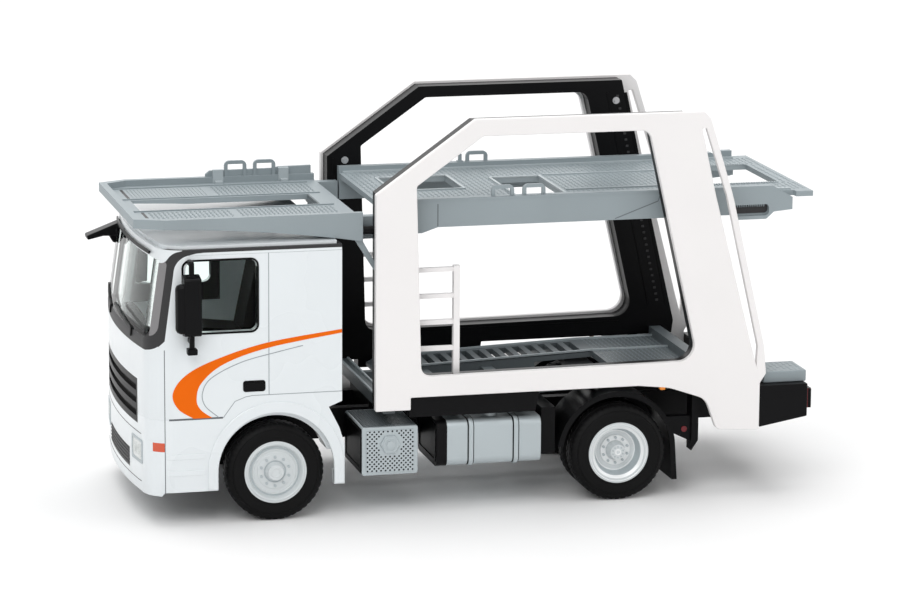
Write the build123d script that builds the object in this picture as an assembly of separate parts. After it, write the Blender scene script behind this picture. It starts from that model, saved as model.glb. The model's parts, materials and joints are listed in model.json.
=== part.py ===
# Scale model car transporter truck with two axles, moulded in plastic at 1:87. All sizes in mm.
# Shapes are drawn with x forward from the front axle, y to the truck's left and z up from the floor.
# export() then moves them so that x = 0 is the middle of the overall length.
import math
import os

from build123d import *

# Overall
FRONT_END = 17.2
WHEELBASE = 39.4
REAR_OVERHANG = 23.0
REAR_AXLE = -WHEELBASE
REAR_END = REAR_AXLE - REAR_OVERHANG
HALF_WIDTH = 14.65
SHIFT = -(FRONT_END + REAR_END) / 2
FAR = 80.0

# Wheels and axles
TYRE_R = 5.5
TYRE_WIDTH = 3.0
TYRE_SINK = 0.75
TYRE_OUT = HALF_WIDTH - TYRE_SINK
TYRE_SHOULDER = 0.55
TWIN_GAP = 0.4
RIM_R = 3.5
RIM_LIP = 0.45
RIM_INSET = 0.15
HUB_R = 1.15
AXLE_R = 0.75
AXLE_SINK = 0.9
AXLE_HALF = TYRE_OUT - AXLE_SINK
BEARING_GAP = 0.05
BEARING_WALL = 0.75
OUTER_IN = TYRE_OUT - TYRE_WIDTH
TWIN_IN = OUTER_IN - TWIN_GAP - TYRE_WIDTH

# Cab
CAB_FRONT = 15.2
CAB_BACK = -7.4
CAB_SINK = 0.45
CAB_HALF = HALF_WIDTH - CAB_SINK
CAB_WALL = 0.9
ROOF_WALL = 0.55
CAB_SILL = 12.06
DOOR_SILL = 14.4
SILL_RISE = 5.9
BELT = 20.6
ROOF = 30.9
SCREEN_LEAN = 1.5
NOSE_BULGE = 1.3
CORNER_R = 3.0
GLASS = 0.6
BUMPER_LOW = 3.5
BASE_WALL = 1.2
BUMPER_IN = CAB_FRONT - NOSE_BULGE - BASE_WALL
ARCH_R = TYRE_R + 1.3
ARCH_HALF = TYRE_R + 1.0
PILLAR_SET = 2.9
PILLAR = CAB_FRONT - PILLAR_SET

# Chassis
RAIL_IN = 3.6
RAIL_WIDTH = 1.2
RAIL_OUT = RAIL_IN + RAIL_WIDTH
RAIL_LOW = TYRE_R + 1.3
RAIL_HEIGHT = 3.4
RAIL_TOP = RAIL_LOW + RAIL_HEIGHT
RAIL_TAIL = 17.6
RAIL_BACK = REAR_AXLE - RAIL_TAIL
CROSS_WIDTH = 1.4
HOUSING_GAP = 0.9
HOUSING_HALF = TWIN_IN - HOUSING_GAP
GEARBOX_TAIL = 1.1
GEARBOX_BACK = CAB_BACK - GEARBOX_TAIL

# Heights of the decks above the cab
DECK_RISE = 3.15
DECK_TOP = ROOF + DECK_RISE
UPPER_STEP = 0.95
UPPER_TOP = DECK_TOP + UPPER_STEP
UPPER_DEPTH = 3.2
UPPER_LOW = UPPER_TOP - UPPER_DEPTH

# White side panels and the black frames inside them
PANEL_WALL = 0.8
FRAME_WALL = 2.2
PANEL_IN = HALF_WIDTH - PANEL_WALL
FRAME_IN = PANEL_IN - FRAME_WALL
PIN_INSET = 0.7
PIN_Y = FRAME_IN + PIN_INSET
FRAME_SET = 0.3
CAB_GAP = 3.7
POST_FRONT = CAB_BACK - CAB_GAP
POST_WIDTH = 4.6
POST_BACK = POST_FRONT - POST_WIDTH
POST_LOW = 11.9
POST_RISE = 2.15
POST_TOP = DECK_TOP + POST_RISE
KNEE_RUN = 11.2
KNEE = POST_FRONT - KNEE_RUN
PANEL_TOP = 44.2
TOP_BEAM = 1.9
TOP_RUN = 9.1
TOP_BACK = REAR_AXLE - TOP_RUN
BEAM_LOW = 13.3
BEAM_TOP = 15.6
LAP = 0.5

# Decks
DECK_FRONT = 15.2
DECK_GAP = 1.1
DECK_BACK = POST_FRONT + DECK_GAP
DECK_SINK = 1.6
DECK_HALF = HALF_WIDTH - DECK_SINK
BEAM_DEPTH = 3.2
TREAD_DROP = 0.7
TREAD = 0.6
CURB = 0.8
UPPER_SET = 1.5
UPPER_FRONT = POST_FRONT - UPPER_SET
BED_GAP = 0.7
BED_LOW = RAIL_TOP + BED_GAP
BED_DEPTH = 1.2
BED_TOP = BED_LOW + BED_DEPTH
RAMP_IN = 4.0
RAMP_GAP = 1.05
RAMP_OUT = FRAME_IN - RAMP_GAP
BEARER_PLACES = [POST_FRONT - 2.2, REAR_AXLE + 10.8, REAR_AXLE - 11.9]

# Tail
TAIL_RUN = 16.3
TAIL_FRONT = REAR_AXLE - TAIL_RUN
TAIL_LENGTH = 5.7
TAIL_END = TAIL_FRONT - TAIL_LENGTH
TAIL_TOP = 12.6
TAIL_LOW = 7.5
TAIL_IN = 8.6

os.makedirs("parts", exist_ok=True)


# Helpers
def box(x0, x1, y0, y1, z0, z1):
    size = Box(x1 - x0, y1 - y0, z1 - z0)
    return Pos((x0 + x1) / 2, (y0 + y1) / 2, (z0 + z1) / 2) * size


def outline(points, radii=None):
    # A flat face from corner points, with an arc at each corner whose index has a radius.
    bends = radii or {}
    count = len(points)
    twice_area = 0.0
    for i in range(count):
        twice_area += points[i - 1][0] * points[i][1] - points[i][0] * points[i - 1][1]
    order = list(range(count))
    if twice_area < 0:
        order.reverse()
    path = [points[i] for i in order]
    radius = [bends.get(i, 0.0) for i in order]
    return make_face(FilletPolyline(*path, radius=radius, close=True))


def along_y(points, y0, y1, radii=None):
    plane = Plane(origin=(0, y1, 0), x_dir=(1, 0, 0), z_dir=(0, -1, 0))
    return extrude(plane * outline(points, radii), amount=y1 - y0)


def along_x(points, x0, x1, radii=None):
    plane = Plane(origin=(x0, 0, 0), x_dir=(0, 1, 0), z_dir=(1, 0, 0))
    return extrude(plane * outline(points, radii), amount=x1 - x0)


def along_z(points, z0, z1, radii=None):
    return extrude(Pos(0, 0, z0) * outline(points, radii), amount=z1 - z0)


def rod_x(y, z, r, x0, x1):
    return Pos((x0 + x1) / 2, y, z) * Rot(0, 90, 0) * Cylinder(r, x1 - x0)


def rod_y(x, z, r, y0, y1):
    return Pos(x, (y0 + y1) / 2, z) * Rot(90, 0, 0) * Cylinder(r, y1 - y0)


def rod_z(x, y, r, z0, z1):
    return Pos(x, y, (z0 + z1) / 2) * Cylinder(r, z1 - z0)


def both(shape):
    # A shape on the truck's left joined with its mirror image on the right.
    return shape + mirror(shape, about=Plane.XZ)


def whole_plan(left_half):
    # A plan outline from the points of its left half.
    return left_half + [(x, -y) for x, y in reversed(left_half)]


def export(shape, node):
    export_step(Pos(SHIFT, 0, 0) * shape, "parts/" + node + ".step")


def export_pair(shape, node):
    export(shape, "left_" + node)
    export(mirror(shape, about=Plane.XZ), "right_" + node)


# Chassis frame: rails, crossmembers, bearers for the lower deck, drive shaft and axle housings
def chassis_frame():
    frame = both(box(RAIL_BACK, BUMPER_IN, RAIL_IN, RAIL_OUT, RAIL_LOW, RAIL_TOP))
    for x0 in (RAIL_BACK, BUMPER_IN - CROSS_WIDTH):
        frame += box(x0, x0 + CROSS_WIDTH, -RAIL_OUT, RAIL_OUT, RAIL_LOW, RAIL_TOP)
    for middle in BEARER_PLACES:
        x0 = middle - CROSS_WIDTH / 2
        frame += box(x0, x0 + CROSS_WIDTH, -RAIL_OUT, RAIL_OUT, RAIL_LOW, BED_LOW)
    housing_r = AXLE_R + BEARING_GAP + BEARING_WALL
    for axle_x in (0.0, REAR_AXLE):
        x0 = axle_x - housing_r
        x1 = axle_x + housing_r
        frame += box(x0, x1, -HOUSING_HALF, HOUSING_HALF, TYRE_R - housing_r, TYRE_R + housing_r)
    frame += rod_y(REAR_AXLE, TYRE_R, 2 * housing_r, -housing_r, housing_r)
    frame += rod_x(0.0, RAIL_LOW - 0.4, 0.6, REAR_AXLE, GEARBOX_BACK)
    for axle_x in (0.0, REAR_AXLE):
        frame -= rod_y(axle_x, TYRE_R, AXLE_R + BEARING_GAP, -FAR, FAR)
    return frame


export(chassis_frame(), "chassis_frame")

# Engine ahead of the front axle with the gearbox behind it, held between the rails
ENGINE_GAP = 1.7
ENGINE_FRONT = BUMPER_IN - ENGINE_GAP
ENGINE_BACK = 2.4
SUMP_DROP = 5.0
engine = box(ENGINE_BACK, ENGINE_FRONT, -RAIL_IN, RAIL_IN, RAIL_TOP - SUMP_DROP, RAIL_TOP)
engine += box(GEARBOX_BACK, ENGINE_BACK, -RAIL_IN, RAIL_IN, RAIL_TOP - 1.6, RAIL_TOP)
engine += rod_x(0.0, RAIL_TOP - 2.4, 1.6, GEARBOX_BACK, -ENGINE_BACK)
export(engine, "engine_block")


# Cab: a hollow shell whose bowed front leans back above the belt line
def cab_plan(inset, lean=0.0):
    half = CAB_HALF - inset
    nose = CAB_FRONT - inset - lean
    side = nose - NOSE_BULGE
    back = CAB_BACK + inset
    front = ThreePointArc((side, -half), (nose, 0), (side, half))
    rest = Polyline((side, half), (back, half), (back, -half), (side, -half))
    face = make_face(front + rest)
    return fillet(face.vertices().group_by(Axis.X)[-1], CORNER_R - inset)


def cab_solid(inset, low, top):
    rise = top - BELT
    lean = SCREEN_LEAN * rise / (ROOF - BELT)
    lower = extrude(Pos(0, 0, low) * cab_plan(inset), amount=BELT - low)
    upper = extrude(Pos(0, 0, BELT) * cab_plan(inset), amount=math.hypot(lean, rise), dir=(-lean, 0, rise))
    return lower + (upper & box(CAB_BACK + inset, FAR, -FAR, FAR, BELT, top))


SILL_LINE = [(SILL_RISE, CAB_SILL), (SILL_RISE - 1.3, DOOR_SILL - 0.5), (SILL_RISE - 2.9, DOOR_SILL)]
SILL_CUT = [(CAB_BACK - 2, CAB_SILL - 2), (SILL_RISE, CAB_SILL - 2)] + SILL_LINE + [(CAB_BACK - 2, DOOR_SILL)]
WINDOW_LOW = BELT + 1.1
WINDOW_TOP = ROOF - 1.3
WINDOW_BACK = 2.1
SIDE_WINDOW = [
    (WINDOW_BACK, WINDOW_LOW), (PILLAR - 1.7, WINDOW_LOW), (PILLAR - 2.4, WINDOW_TOP),
    (WINDOW_BACK, WINDOW_TOP),
]
SCREEN_HALF = CAB_HALF - 1.4
SCREEN_LOW = BELT + 0.5
SCREEN_TOP = ROOF - 1.2
SCREEN = [
    (-SCREEN_HALF, SCREEN_LOW), (SCREEN_HALF, SCREEN_LOW), (SCREEN_HALF, SCREEN_TOP),
    (-SCREEN_HALF, SCREEN_TOP),
]
SCREEN_BEND = 1.2
TRIM_BEND = 2.0
SIDE_TOP = ROOF - ROOF_WALL
WHITE_SIDE = [
    (-FAR, 0.0), (FAR, 0.0), (FAR, BELT - 0.9), (PILLAR + 1.2, BELT - 0.9), (PILLAR, BELT + 0.3),
    (PILLAR - SCREEN_LEAN + 0.2, SIDE_TOP), (-FAR, SIDE_TOP),
]
GRILLE_SIDE = 4.6
GRILLE_HALF = CAB_HALF - GRILLE_SIDE
GRILLE_LOW = 10.9
GRILLE_TOP = 15.9
GRILLE_BARS = 3
GRILLE_SINK = 0.45
CAP_RISE = 0.35

cab_outside = cab_solid(0.0, CAB_SILL, ROOF)
cab_inside = cab_solid(CAB_WALL, CAB_SILL - 1, SIDE_TOP)
cab_walls = cab_outside - cab_inside - along_y(SILL_CUT, -FAR, FAR)
white_side = along_y(WHITE_SIDE, -FAR, FAR, {5: TRIM_BEND})
side_window = along_y(SIDE_WINDOW, CAB_HALF - 3, CAB_HALF + 3, {0: 0.8, 1: 0.5, 2: 0.8, 3: 0.8})
windscreen = along_x(SCREEN, 0.0, FAR, {0: SCREEN_BEND, 1: SCREEN_BEND}) - white_side
openings = both(side_window) + windscreen
grille_space = box(BUMPER_IN, FAR, -GRILLE_HALF, GRILLE_HALF, GRILLE_LOW, GRILLE_TOP)
forehead = box(0.0, FAR, -SCREEN_HALF, SCREEN_HALF, SCREEN_TOP, ROOF)
export((cab_walls & white_side) - openings - grille_space, "cab_shell")
export(cab_walls - white_side - openings - forehead, "cab_roof")
cap = extrude(Pos(0, 0, ROOF) * cab_plan(LAP, SCREEN_LEAN), amount=CAP_RISE)
export(cap + (cab_walls & forehead), "roof_cap")


def grille():
    # A panel of the shell's own thickness with sunk slots between its bars.
    height = GRILLE_TOP - GRILLE_LOW
    step = height / (2 * GRILLE_BARS + 1)
    layers = []
    for inset in (0.0, GRILLE_SINK, CAB_WALL):
        layers.append(extrude(Pos(0, 0, GRILLE_LOW) * cab_plan(inset), amount=height))
    outside, core, inside = layers
    panel = (outside - inside) & grille_space
    for k in range(GRILLE_BARS):
        z0 = GRILLE_LOW + (2 * k + 1) * step
        panel -= box(BUMPER_IN, FAR, -GRILLE_HALF + LAP, GRILLE_HALF - LAP, z0, z0 + step) - core
    return panel


export(grille(), "grille")

# Glazing: one clear insert lining the shell, with panes that fill the openings
glass_inside = cab_solid(CAB_WALL + GLASS, BELT - 2, SIDE_TOP - GLASS)
lining = cab_inside & box(WINDOW_BACK - 1, FAR, -FAR, FAR, BELT - 0.9, ROOF)
export((lining + (cab_outside & openings)) - glass_inside, "glazing")

# Interior: floor, dashboard, two seats, bunk and steering wheel in one moulding
FLOOR_TOP = DOOR_SILL + 1.0
TUB_HALF = CAB_HALF - CAB_WALL - GLASS
TUB_FRONT = BUMPER_IN - 0.4
TUB_BACK = CAB_BACK + CAB_WALL
SEAT_SIDE = 6.1
SEAT_Y = TUB_HALF - SEAT_SIDE
SEAT_HALF = 2.6
HEAD_ROOM = 4.5
SEAT_TOP = ROOF - HEAD_ROOM
CUSHION = 3.0
BUNK_DEEP = 3.5
BUNK_RISE = 2.6
BUNK_GAP = 1.4
STEER_R = 2.2
STEER_RIM = 0.5
STEER_SIDES = 16
STEER_TILT = -35.0
STEER_SET = 3.6
STEER_X = PILLAR - STEER_SET
COLUMN = 0.7
COLUMN_LENGTH = 2.6


def interior():
    tub = box(TUB_BACK, TUB_FRONT, -TUB_HALF + 0.6, TUB_HALF - 0.6, DOOR_SILL, FLOOR_TOP)
    dash = [
        (TUB_FRONT, FLOOR_TOP), (TUB_FRONT, BELT - 1.0), (TUB_FRONT - 1.0, BELT - 0.4),
        (TUB_FRONT - 1.9, BELT - 1.2), (TUB_FRONT - 2.7, FLOOR_TOP),
    ]
    tub += along_y(dash, -TUB_HALF + 1.6, TUB_HALF - 1.6)
    seat = [
        (4.8, FLOOR_TOP), (5.2, FLOOR_TOP + CUSHION), (0.2, FLOOR_TOP + CUSHION - 0.6), (-1.6, SEAT_TOP),
        (-2.8, SEAT_TOP - 0.4), (-1.6, FLOOR_TOP),
    ]
    for middle in (-SEAT_Y, SEAT_Y):
        tub += along_y(seat, middle - SEAT_HALF, middle + SEAT_HALF, {1: 0.7, 3: 0.5})
    bunk_half = TUB_HALF - BUNK_GAP
    tub += box(TUB_BACK, TUB_BACK + BUNK_DEEP, -bunk_half, bunk_half, FLOOR_TOP, FLOOR_TOP + BUNK_RISE)
    ring = RegularPolygon(STEER_R, STEER_SIDES) - RegularPolygon(STEER_R - STEER_RIM, STEER_SIDES)
    wheel = extrude(ring, amount=STEER_RIM / 2, both=True)
    wheel += Box(2 * STEER_R - STEER_RIM, STEER_RIM, STEER_RIM)
    wheel += Pos(0, 0, -COLUMN_LENGTH / 2) * Box(COLUMN, COLUMN, COLUMN_LENGTH)
    return tub + Pos(STEER_X, SEAT_Y, BELT - 0.2) * Rot(0, STEER_TILT, 0) * wheel


export(interior(), "cab_interior")

# Cab base: bumper, steps and front wheel arches in one moulding under the shell
FLAP_BACK = CAB_BACK - 0.3
STEP_LOW = BUMPER_LOW + 0.4
LEDGE = 1.1
LEDGE_NOTCH = 1.5
BULGE_DROP = 4.1
FLAP_BULGE = DOOR_SILL - BULGE_DROP
BASE_SIDE = [
    (CAB_BACK, DOOR_SILL), (CAB_BACK, DOOR_SILL - LEDGE), (CAB_BACK + LEDGE_NOTCH, DOOR_SILL - LEDGE - 0.6),
    (FLAP_BACK + 0.6, FLAP_BULGE), (FLAP_BACK, FLAP_BULGE - 2.0), (FLAP_BACK, STEP_LOW),
    (BUMPER_IN - 0.3, STEP_LOW), (BUMPER_IN, BUMPER_LOW), (FAR, BUMPER_LOW), (FAR, CAB_SILL),
]
LAMPS = [
    # node, x0, y0, y1, z0, z1
    ("headlamps", BUMPER_IN, CAB_HALF - 6.8, CAB_HALF - CORNER_R, 6.7, 9.2),
    ("indicators", BUMPER_IN - 0.6, CAB_HALF - 1.9, FAR, 8.5, 9.5),
]
INTAKE_SIDE = 8.0
INTAKE_HALF = CAB_HALF - INTAKE_SIDE
INTAKE_LOW = 5.2
INTAKE_TOP = 7.4


def cab_base():
    plan = cab_plan(0.0)
    block = extrude(Pos(0, 0, BUMPER_LOW) * plan, amount=DOOR_SILL - BUMPER_LOW)
    inner_half = CAB_HALF - BASE_WALL
    block += both(box(FLAP_BACK, CAB_BACK + 1, inner_half, CAB_HALF, STEP_LOW, DOOR_SILL))
    block &= along_y(BASE_SIDE + SILL_LINE, -FAR, FAR)
    hollow = [(-FAR, -inner_half), (BUMPER_IN, -inner_half), (BUMPER_IN, inner_half), (-FAR, inner_half)]
    corner = CORNER_R - BASE_WALL
    block -= along_z(hollow, 0.0, FAR, {1: corner, 2: corner})
    arch = rod_y(0.0, TYRE_R, ARCH_R, -FAR, FAR) & box(-FAR, FAR, -FAR, FAR, TYRE_R, FAR)
    return block - arch - box(-ARCH_HALF, ARCH_HALF, -FAR, FAR, 0.0, TYRE_R)


base = cab_base() - grille_space
for node, x0, y0, y1, z0, z1 in LAMPS:
    space = both(box(x0, FAR, y0, y1, z0, z1))
    export(base & space, node)
    base -= space
intake = box(BUMPER_IN, FAR, -INTAKE_HALF, INTAKE_HALF, INTAKE_LOW, INTAKE_TOP)
export(base & intake, "bumper_intake")
export(base - intake, "cab_base")

# Mudguards: arched bands over the wheels on a cross plate that stands on the rails
GUARD_GAP = 0.8
GUARD_WALL = 0.6
GUARD_INSET = 2.3
PLATE_HALF = 1.5
FLAP_TOP = 6.4
FLAP_LOW = 1.8


def mudguards(axle_x, y0, y1, low):
    inner_r = TYRE_R + GUARD_GAP
    outer_r = inner_r + GUARD_WALL
    band = rod_y(axle_x, TYRE_R, outer_r, y0, y1) - rod_y(axle_x, TYRE_R, inner_r, y0 - 1, y1 + 1)
    guards = both(band & box(-FAR, FAR, y0, y1, low, FAR))
    plate_low = TYRE_R + inner_r
    plate_top = plate_low + GUARD_WALL - 0.05
    x0 = axle_x - PLATE_HALF
    x1 = axle_x + PLATE_HALF
    guards += box(x0, x1, -y0 - 0.2, y0 + 0.2, plate_low, plate_top)
    return guards + both(box(x0, x1, RAIL_IN, RAIL_OUT, RAIL_TOP, plate_low))


def rear_mudguards():
    guards = mudguards(REAR_AXLE, RAIL_OUT + GUARD_INSET, DECK_HALF, FLAP_TOP)
    back = REAR_AXLE - TYRE_R - GUARD_GAP - GUARD_WALL
    flap = [
        (back, FLAP_TOP), (back + GUARD_WALL, FLAP_TOP), (back + GUARD_WALL - 0.3, FLAP_LOW),
        (back - 0.3, FLAP_LOW),
    ]
    hanger = [(back - 2.8, BEAM_LOW), (back - 2.0, BEAM_LOW), (back - 2.0, 5.0), (back - 2.8, 6.2)]
    stay = [(back - 2.1, 9.0), (back + 1.2, 9.0), (back + 0.4, 7.2), (back - 2.1, 6.0)]
    rear = along_y(flap, TWIN_IN + 0.2, DECK_HALF - 0.2)
    rear += along_y(hanger, OUTER_IN, OUTER_IN + 1.8) + along_y(stay, OUTER_IN + 0.4, OUTER_IN + 1.4)
    return guards + both(rear)


export(mudguards(0.0, OUTER_IN - 1.5, CAB_HALF - BASE_WALL, FLAP_TOP + 1.2), "front_mudguards")
export(rear_mudguards(), "rear_mudguards")

# Door mirrors on hooked arms, and the front mirror above the windscreen
MIRROR_LOW = BELT + 1.0
MIRROR_TOP = ROOF - 2.5
MIRROR_SET = 3.7
MIRROR_BACK = PILLAR - MIRROR_SET
MIRROR_DEEP = 1.9
MIRROR_GAP = 0.7
MIRROR_WIDTH = 1.6
MIRROR_ARM = 0.55
FRONT_MIRROR_SIDE = 5.2
FRONT_MIRROR_Y = FRONT_MIRROR_SIDE - CAB_HALF


def door_mirror():
    y0 = CAB_HALF + MIRROR_GAP
    y1 = y0 + MIRROR_WIDTH
    middle = MIRROR_BACK + MIRROR_DEEP / 2
    near = y0 + 0.3
    far = near + MIRROR_ARM
    high = MIRROR_TOP + 1.5
    low = MIRROR_LOW - 0.3
    case = [(y0, MIRROR_LOW), (y1, MIRROR_LOW + 0.2), (y1, MIRROR_TOP - 0.3), (y0, MIRROR_TOP)]
    hook = [
        (CAB_HALF, high), (far, high), (far, MIRROR_TOP - 0.5), (near, MIRROR_TOP - 0.5),
        (near, high - MIRROR_ARM), (CAB_HALF, high - MIRROR_ARM),
    ]
    stalk = [
        (CAB_HALF, low), (near, low), (near, MIRROR_LOW + 0.3), (far, MIRROR_LOW + 0.3), (far, low - 1.2),
        (near, low - 1.2), (near, low - MIRROR_ARM), (CAB_HALF, low - MIRROR_ARM),
    ]
    body = along_x(case, MIRROR_BACK, MIRROR_BACK + MIRROR_DEEP, {1: 0.4, 2: 0.4})
    for profile, bends in ((hook, {1: 0.4}), (stalk, None)):
        body += along_x(profile, middle - MIRROR_ARM / 2, middle + MIRROR_ARM / 2, bends)
    x0 = middle - MIRROR_ARM
    return body + box(x0, x0 + 2 * MIRROR_ARM, near - 0.25, far + 0.25, low - 1.7, low - 1.0)


def front_mirror():
    back = CAB_FRONT - SCREEN_LEAN - 1.5
    high = ROOF - 0.4
    wedge = [
        (back, high), (FRONT_END, high - 1.9), (FRONT_END - 0.1, high - 2.4), (FRONT_END - 1.9, high - 2.0),
        (back, high - 2.1),
    ]
    prong = [(back, high - 1.7), (back + 2.6, high - 1.7), (back + 1.9, high - 2.9), (back, high - 2.9)]
    body = along_y(wedge, FRONT_MIRROR_Y - 0.9, FRONT_MIRROR_Y + 0.9)
    return body + along_y(prong, FRONT_MIRROR_Y - 0.4, FRONT_MIRROR_Y + 0.4) - cab_outside


export_pair(door_mirror(), "mirror")
export(front_mirror(), "front_mirror")

# Side panels: white outer skin with a large opening and a slit along the rear edge
REAR_KNEE = (TOP_BACK - 0.8, PANEL_TOP - 0.8)
REAR_BEND = (TOP_BACK - 3.6, PANEL_TOP - 9.7)
REAR_FOOT = (TAIL_FRONT - 0.4, BEAM_LOW + 3.9)
HEEL = (TAIL_FRONT - 0.7, BEAM_LOW + 0.7)
TAIL_ARCH = TAIL_FRONT + 5.1
PANEL = [
    (POST_FRONT, POST_TOP), (KNEE, PANEL_TOP), (TOP_BACK, PANEL_TOP), REAR_KNEE, REAR_BEND, REAR_FOOT, HEEL,
    (TAIL_FRONT, BEAM_LOW - 0.4), (TAIL_FRONT, TAIL_LOW), (TAIL_ARCH, TAIL_LOW + 0.3),
    (TAIL_ARCH + 1.3, BEAM_LOW - 1.9), (TAIL_ARCH + 5.6, BEAM_LOW - 0.4), (TAIL_ARCH + 9.2, BEAM_LOW),
    (POST_BACK + 0.6, BEAM_LOW), (POST_BACK + 0.6, POST_LOW), (POST_FRONT, POST_LOW),
]
LOW_CORNER = (REAR_AXLE - 8.9, BEAM_TOP + 0.3)
HIGH_CORNER = (REAR_AXLE - 2.8, PANEL_TOP - TOP_BEAM)
SLOPE_BEAM = 2.5
SLOPE_Z = POST_TOP + (PANEL_TOP - POST_TOP) * POST_WIDTH / (POST_FRONT - KNEE) - SLOPE_BEAM
WINDOW = [
    (POST_BACK, SLOPE_Z), (POST_BACK - 0.6, BEAM_TOP), LOW_CORNER, HIGH_CORNER,
    (KNEE - 0.9, PANEL_TOP - TOP_BEAM),
]
WINDOW_BENDS = {0: 0.4, 1: 1.2, 2: 1.8, 3: 1.2, 4: 0.6}
STRIP = 0.75
SLIT_TOP = PANEL_TOP - TOP_BEAM
SLIT = [
    (TOP_BACK + 0.2, SLIT_TOP), (TOP_BACK - 0.3, SLIT_TOP), (REAR_BEND[0] + STRIP, REAR_BEND[1]),
    (REAR_FOOT[0] + STRIP, REAR_FOOT[1]), (REAR_FOOT[0] + STRIP + 0.1, BEAM_LOW + 1.6),
    (REAR_FOOT[0] + 2 * STRIP, REAR_FOOT[1]), (REAR_BEND[0] + STRIP + 1.25, REAR_BEND[1]),
]
panel = along_y(PANEL, PANEL_IN, HALF_WIDTH, {4: 30.0, 5: 6.0, 9: 0.8, 10: 2.0, 11: 6.0})
panel -= along_y(WINDOW, PANEL_IN - 1, HALF_WIDTH + 1, WINDOW_BENDS)
panel -= along_y(SLIT, PANEL_IN - 1, HALF_WIDTH + 1)
export_pair(panel, "side_panel")

# Inner frames: black liners set back from the panels' edges, each with a pin for the over-cab deck
SKIRT_RUN = 9.8
SKIRT_BACK = REAR_AXLE + SKIRT_RUN
SKIRT_LOW = BEAM_LOW - 2.4
FRAME_FRONT = POST_FRONT - FRAME_SET
FRAME = [
    (FRAME_FRONT, POST_TOP - 0.1), (KNEE, PANEL_TOP - FRAME_SET), (TOP_BACK + 1.7, PANEL_TOP - FRAME_SET),
    (TAIL_FRONT + 2.1, BEAM_LOW + 1.5), (TAIL_FRONT + 2.3, BEAM_LOW), (SKIRT_BACK - 0.4, BEAM_LOW),
    (SKIRT_BACK, SKIRT_LOW), (POST_BACK + 0.6, SKIRT_LOW), (POST_BACK + 0.6, POST_LOW),
    (FRAME_FRONT, POST_LOW),
]
FRAME_WINDOW = [
    (POST_BACK + FRAME_SET, SLOPE_Z + 0.2), (POST_BACK - 0.3, BEAM_TOP - FRAME_SET),
    (LOW_CORNER[0] - FRAME_SET, LOW_CORNER[1] - FRAME_SET),
    (HIGH_CORNER[0] - FRAME_SET, HIGH_CORNER[1] + FRAME_SET), (KNEE - 0.8, HIGH_CORNER[1] + FRAME_SET),
]
PIN_DROP = 2.1
PIN_Z = DECK_TOP - PIN_DROP
PIN_R = 0.45
liner = along_y(FRAME, FRAME_IN, PANEL_IN) - along_y(FRAME_WINDOW, FRAME_IN - 1, PANEL_IN + 1, WINDOW_BENDS)
liner += rod_x(PIN_Y, PIN_Z, PIN_R, FRAME_FRONT - LAP, DECK_BACK)
export_pair(liner, "inner_frame")

# Ladders behind the front posts
LADDER_WIDTH = 4.7
LADDER_FRONT = POST_BACK - LADDER_WIDTH
LADDER_BAR = 0.7
LADDER_TOP = 27.6
RUNGS = 4
RUNG_PITCH = 2.97
RUNG = 0.25
ladder_half = LADDER_BAR / 2
ladder = box(
    LADDER_FRONT - LADDER_BAR, LADDER_FRONT, PIN_Y - ladder_half, PIN_Y + ladder_half, BEAM_LOW, LADDER_TOP,
)
for k in range(RUNGS):
    z = LADDER_TOP - 0.4 - k * RUNG_PITCH
    ladder += box(LADDER_FRONT - LAP, POST_BACK + 1.5, PIN_Y - RUNG, PIN_Y + RUNG, z - RUNG, z + RUNG)
export_pair(ladder - liner, "ladder")


# Over-cab deck: curbed beams with arched undersides, treads, crossbars, lugs, struts and tie-down hoops
def hoop(x0, x1, y, z0, z1):
    bar = 0.4
    ring = along_y([(x0, z0), (x1, z0), (x1, z1), (x0, z1)], y - bar / 2, y + bar / 2, {2: 0.6, 3: 0.6})
    return ring - box(x0 + bar, x1 - bar, y - 1, y + 1, z0 - 1, z1 - bar)


DECK_NOSE_HALF = DECK_HALF - 1.4
DECK_CHAMFER = 3.2
NOSE_DEPTH = TREAD_DROP + 0.3
ARCH_DEPTH = 1.6
DECK_HOLE_HALF = 3.2
HOOP_LENGTH = 2.6
HOOP_RISE = 1.8
DECK_HOOPS = (-2.1, -5.5)


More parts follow.
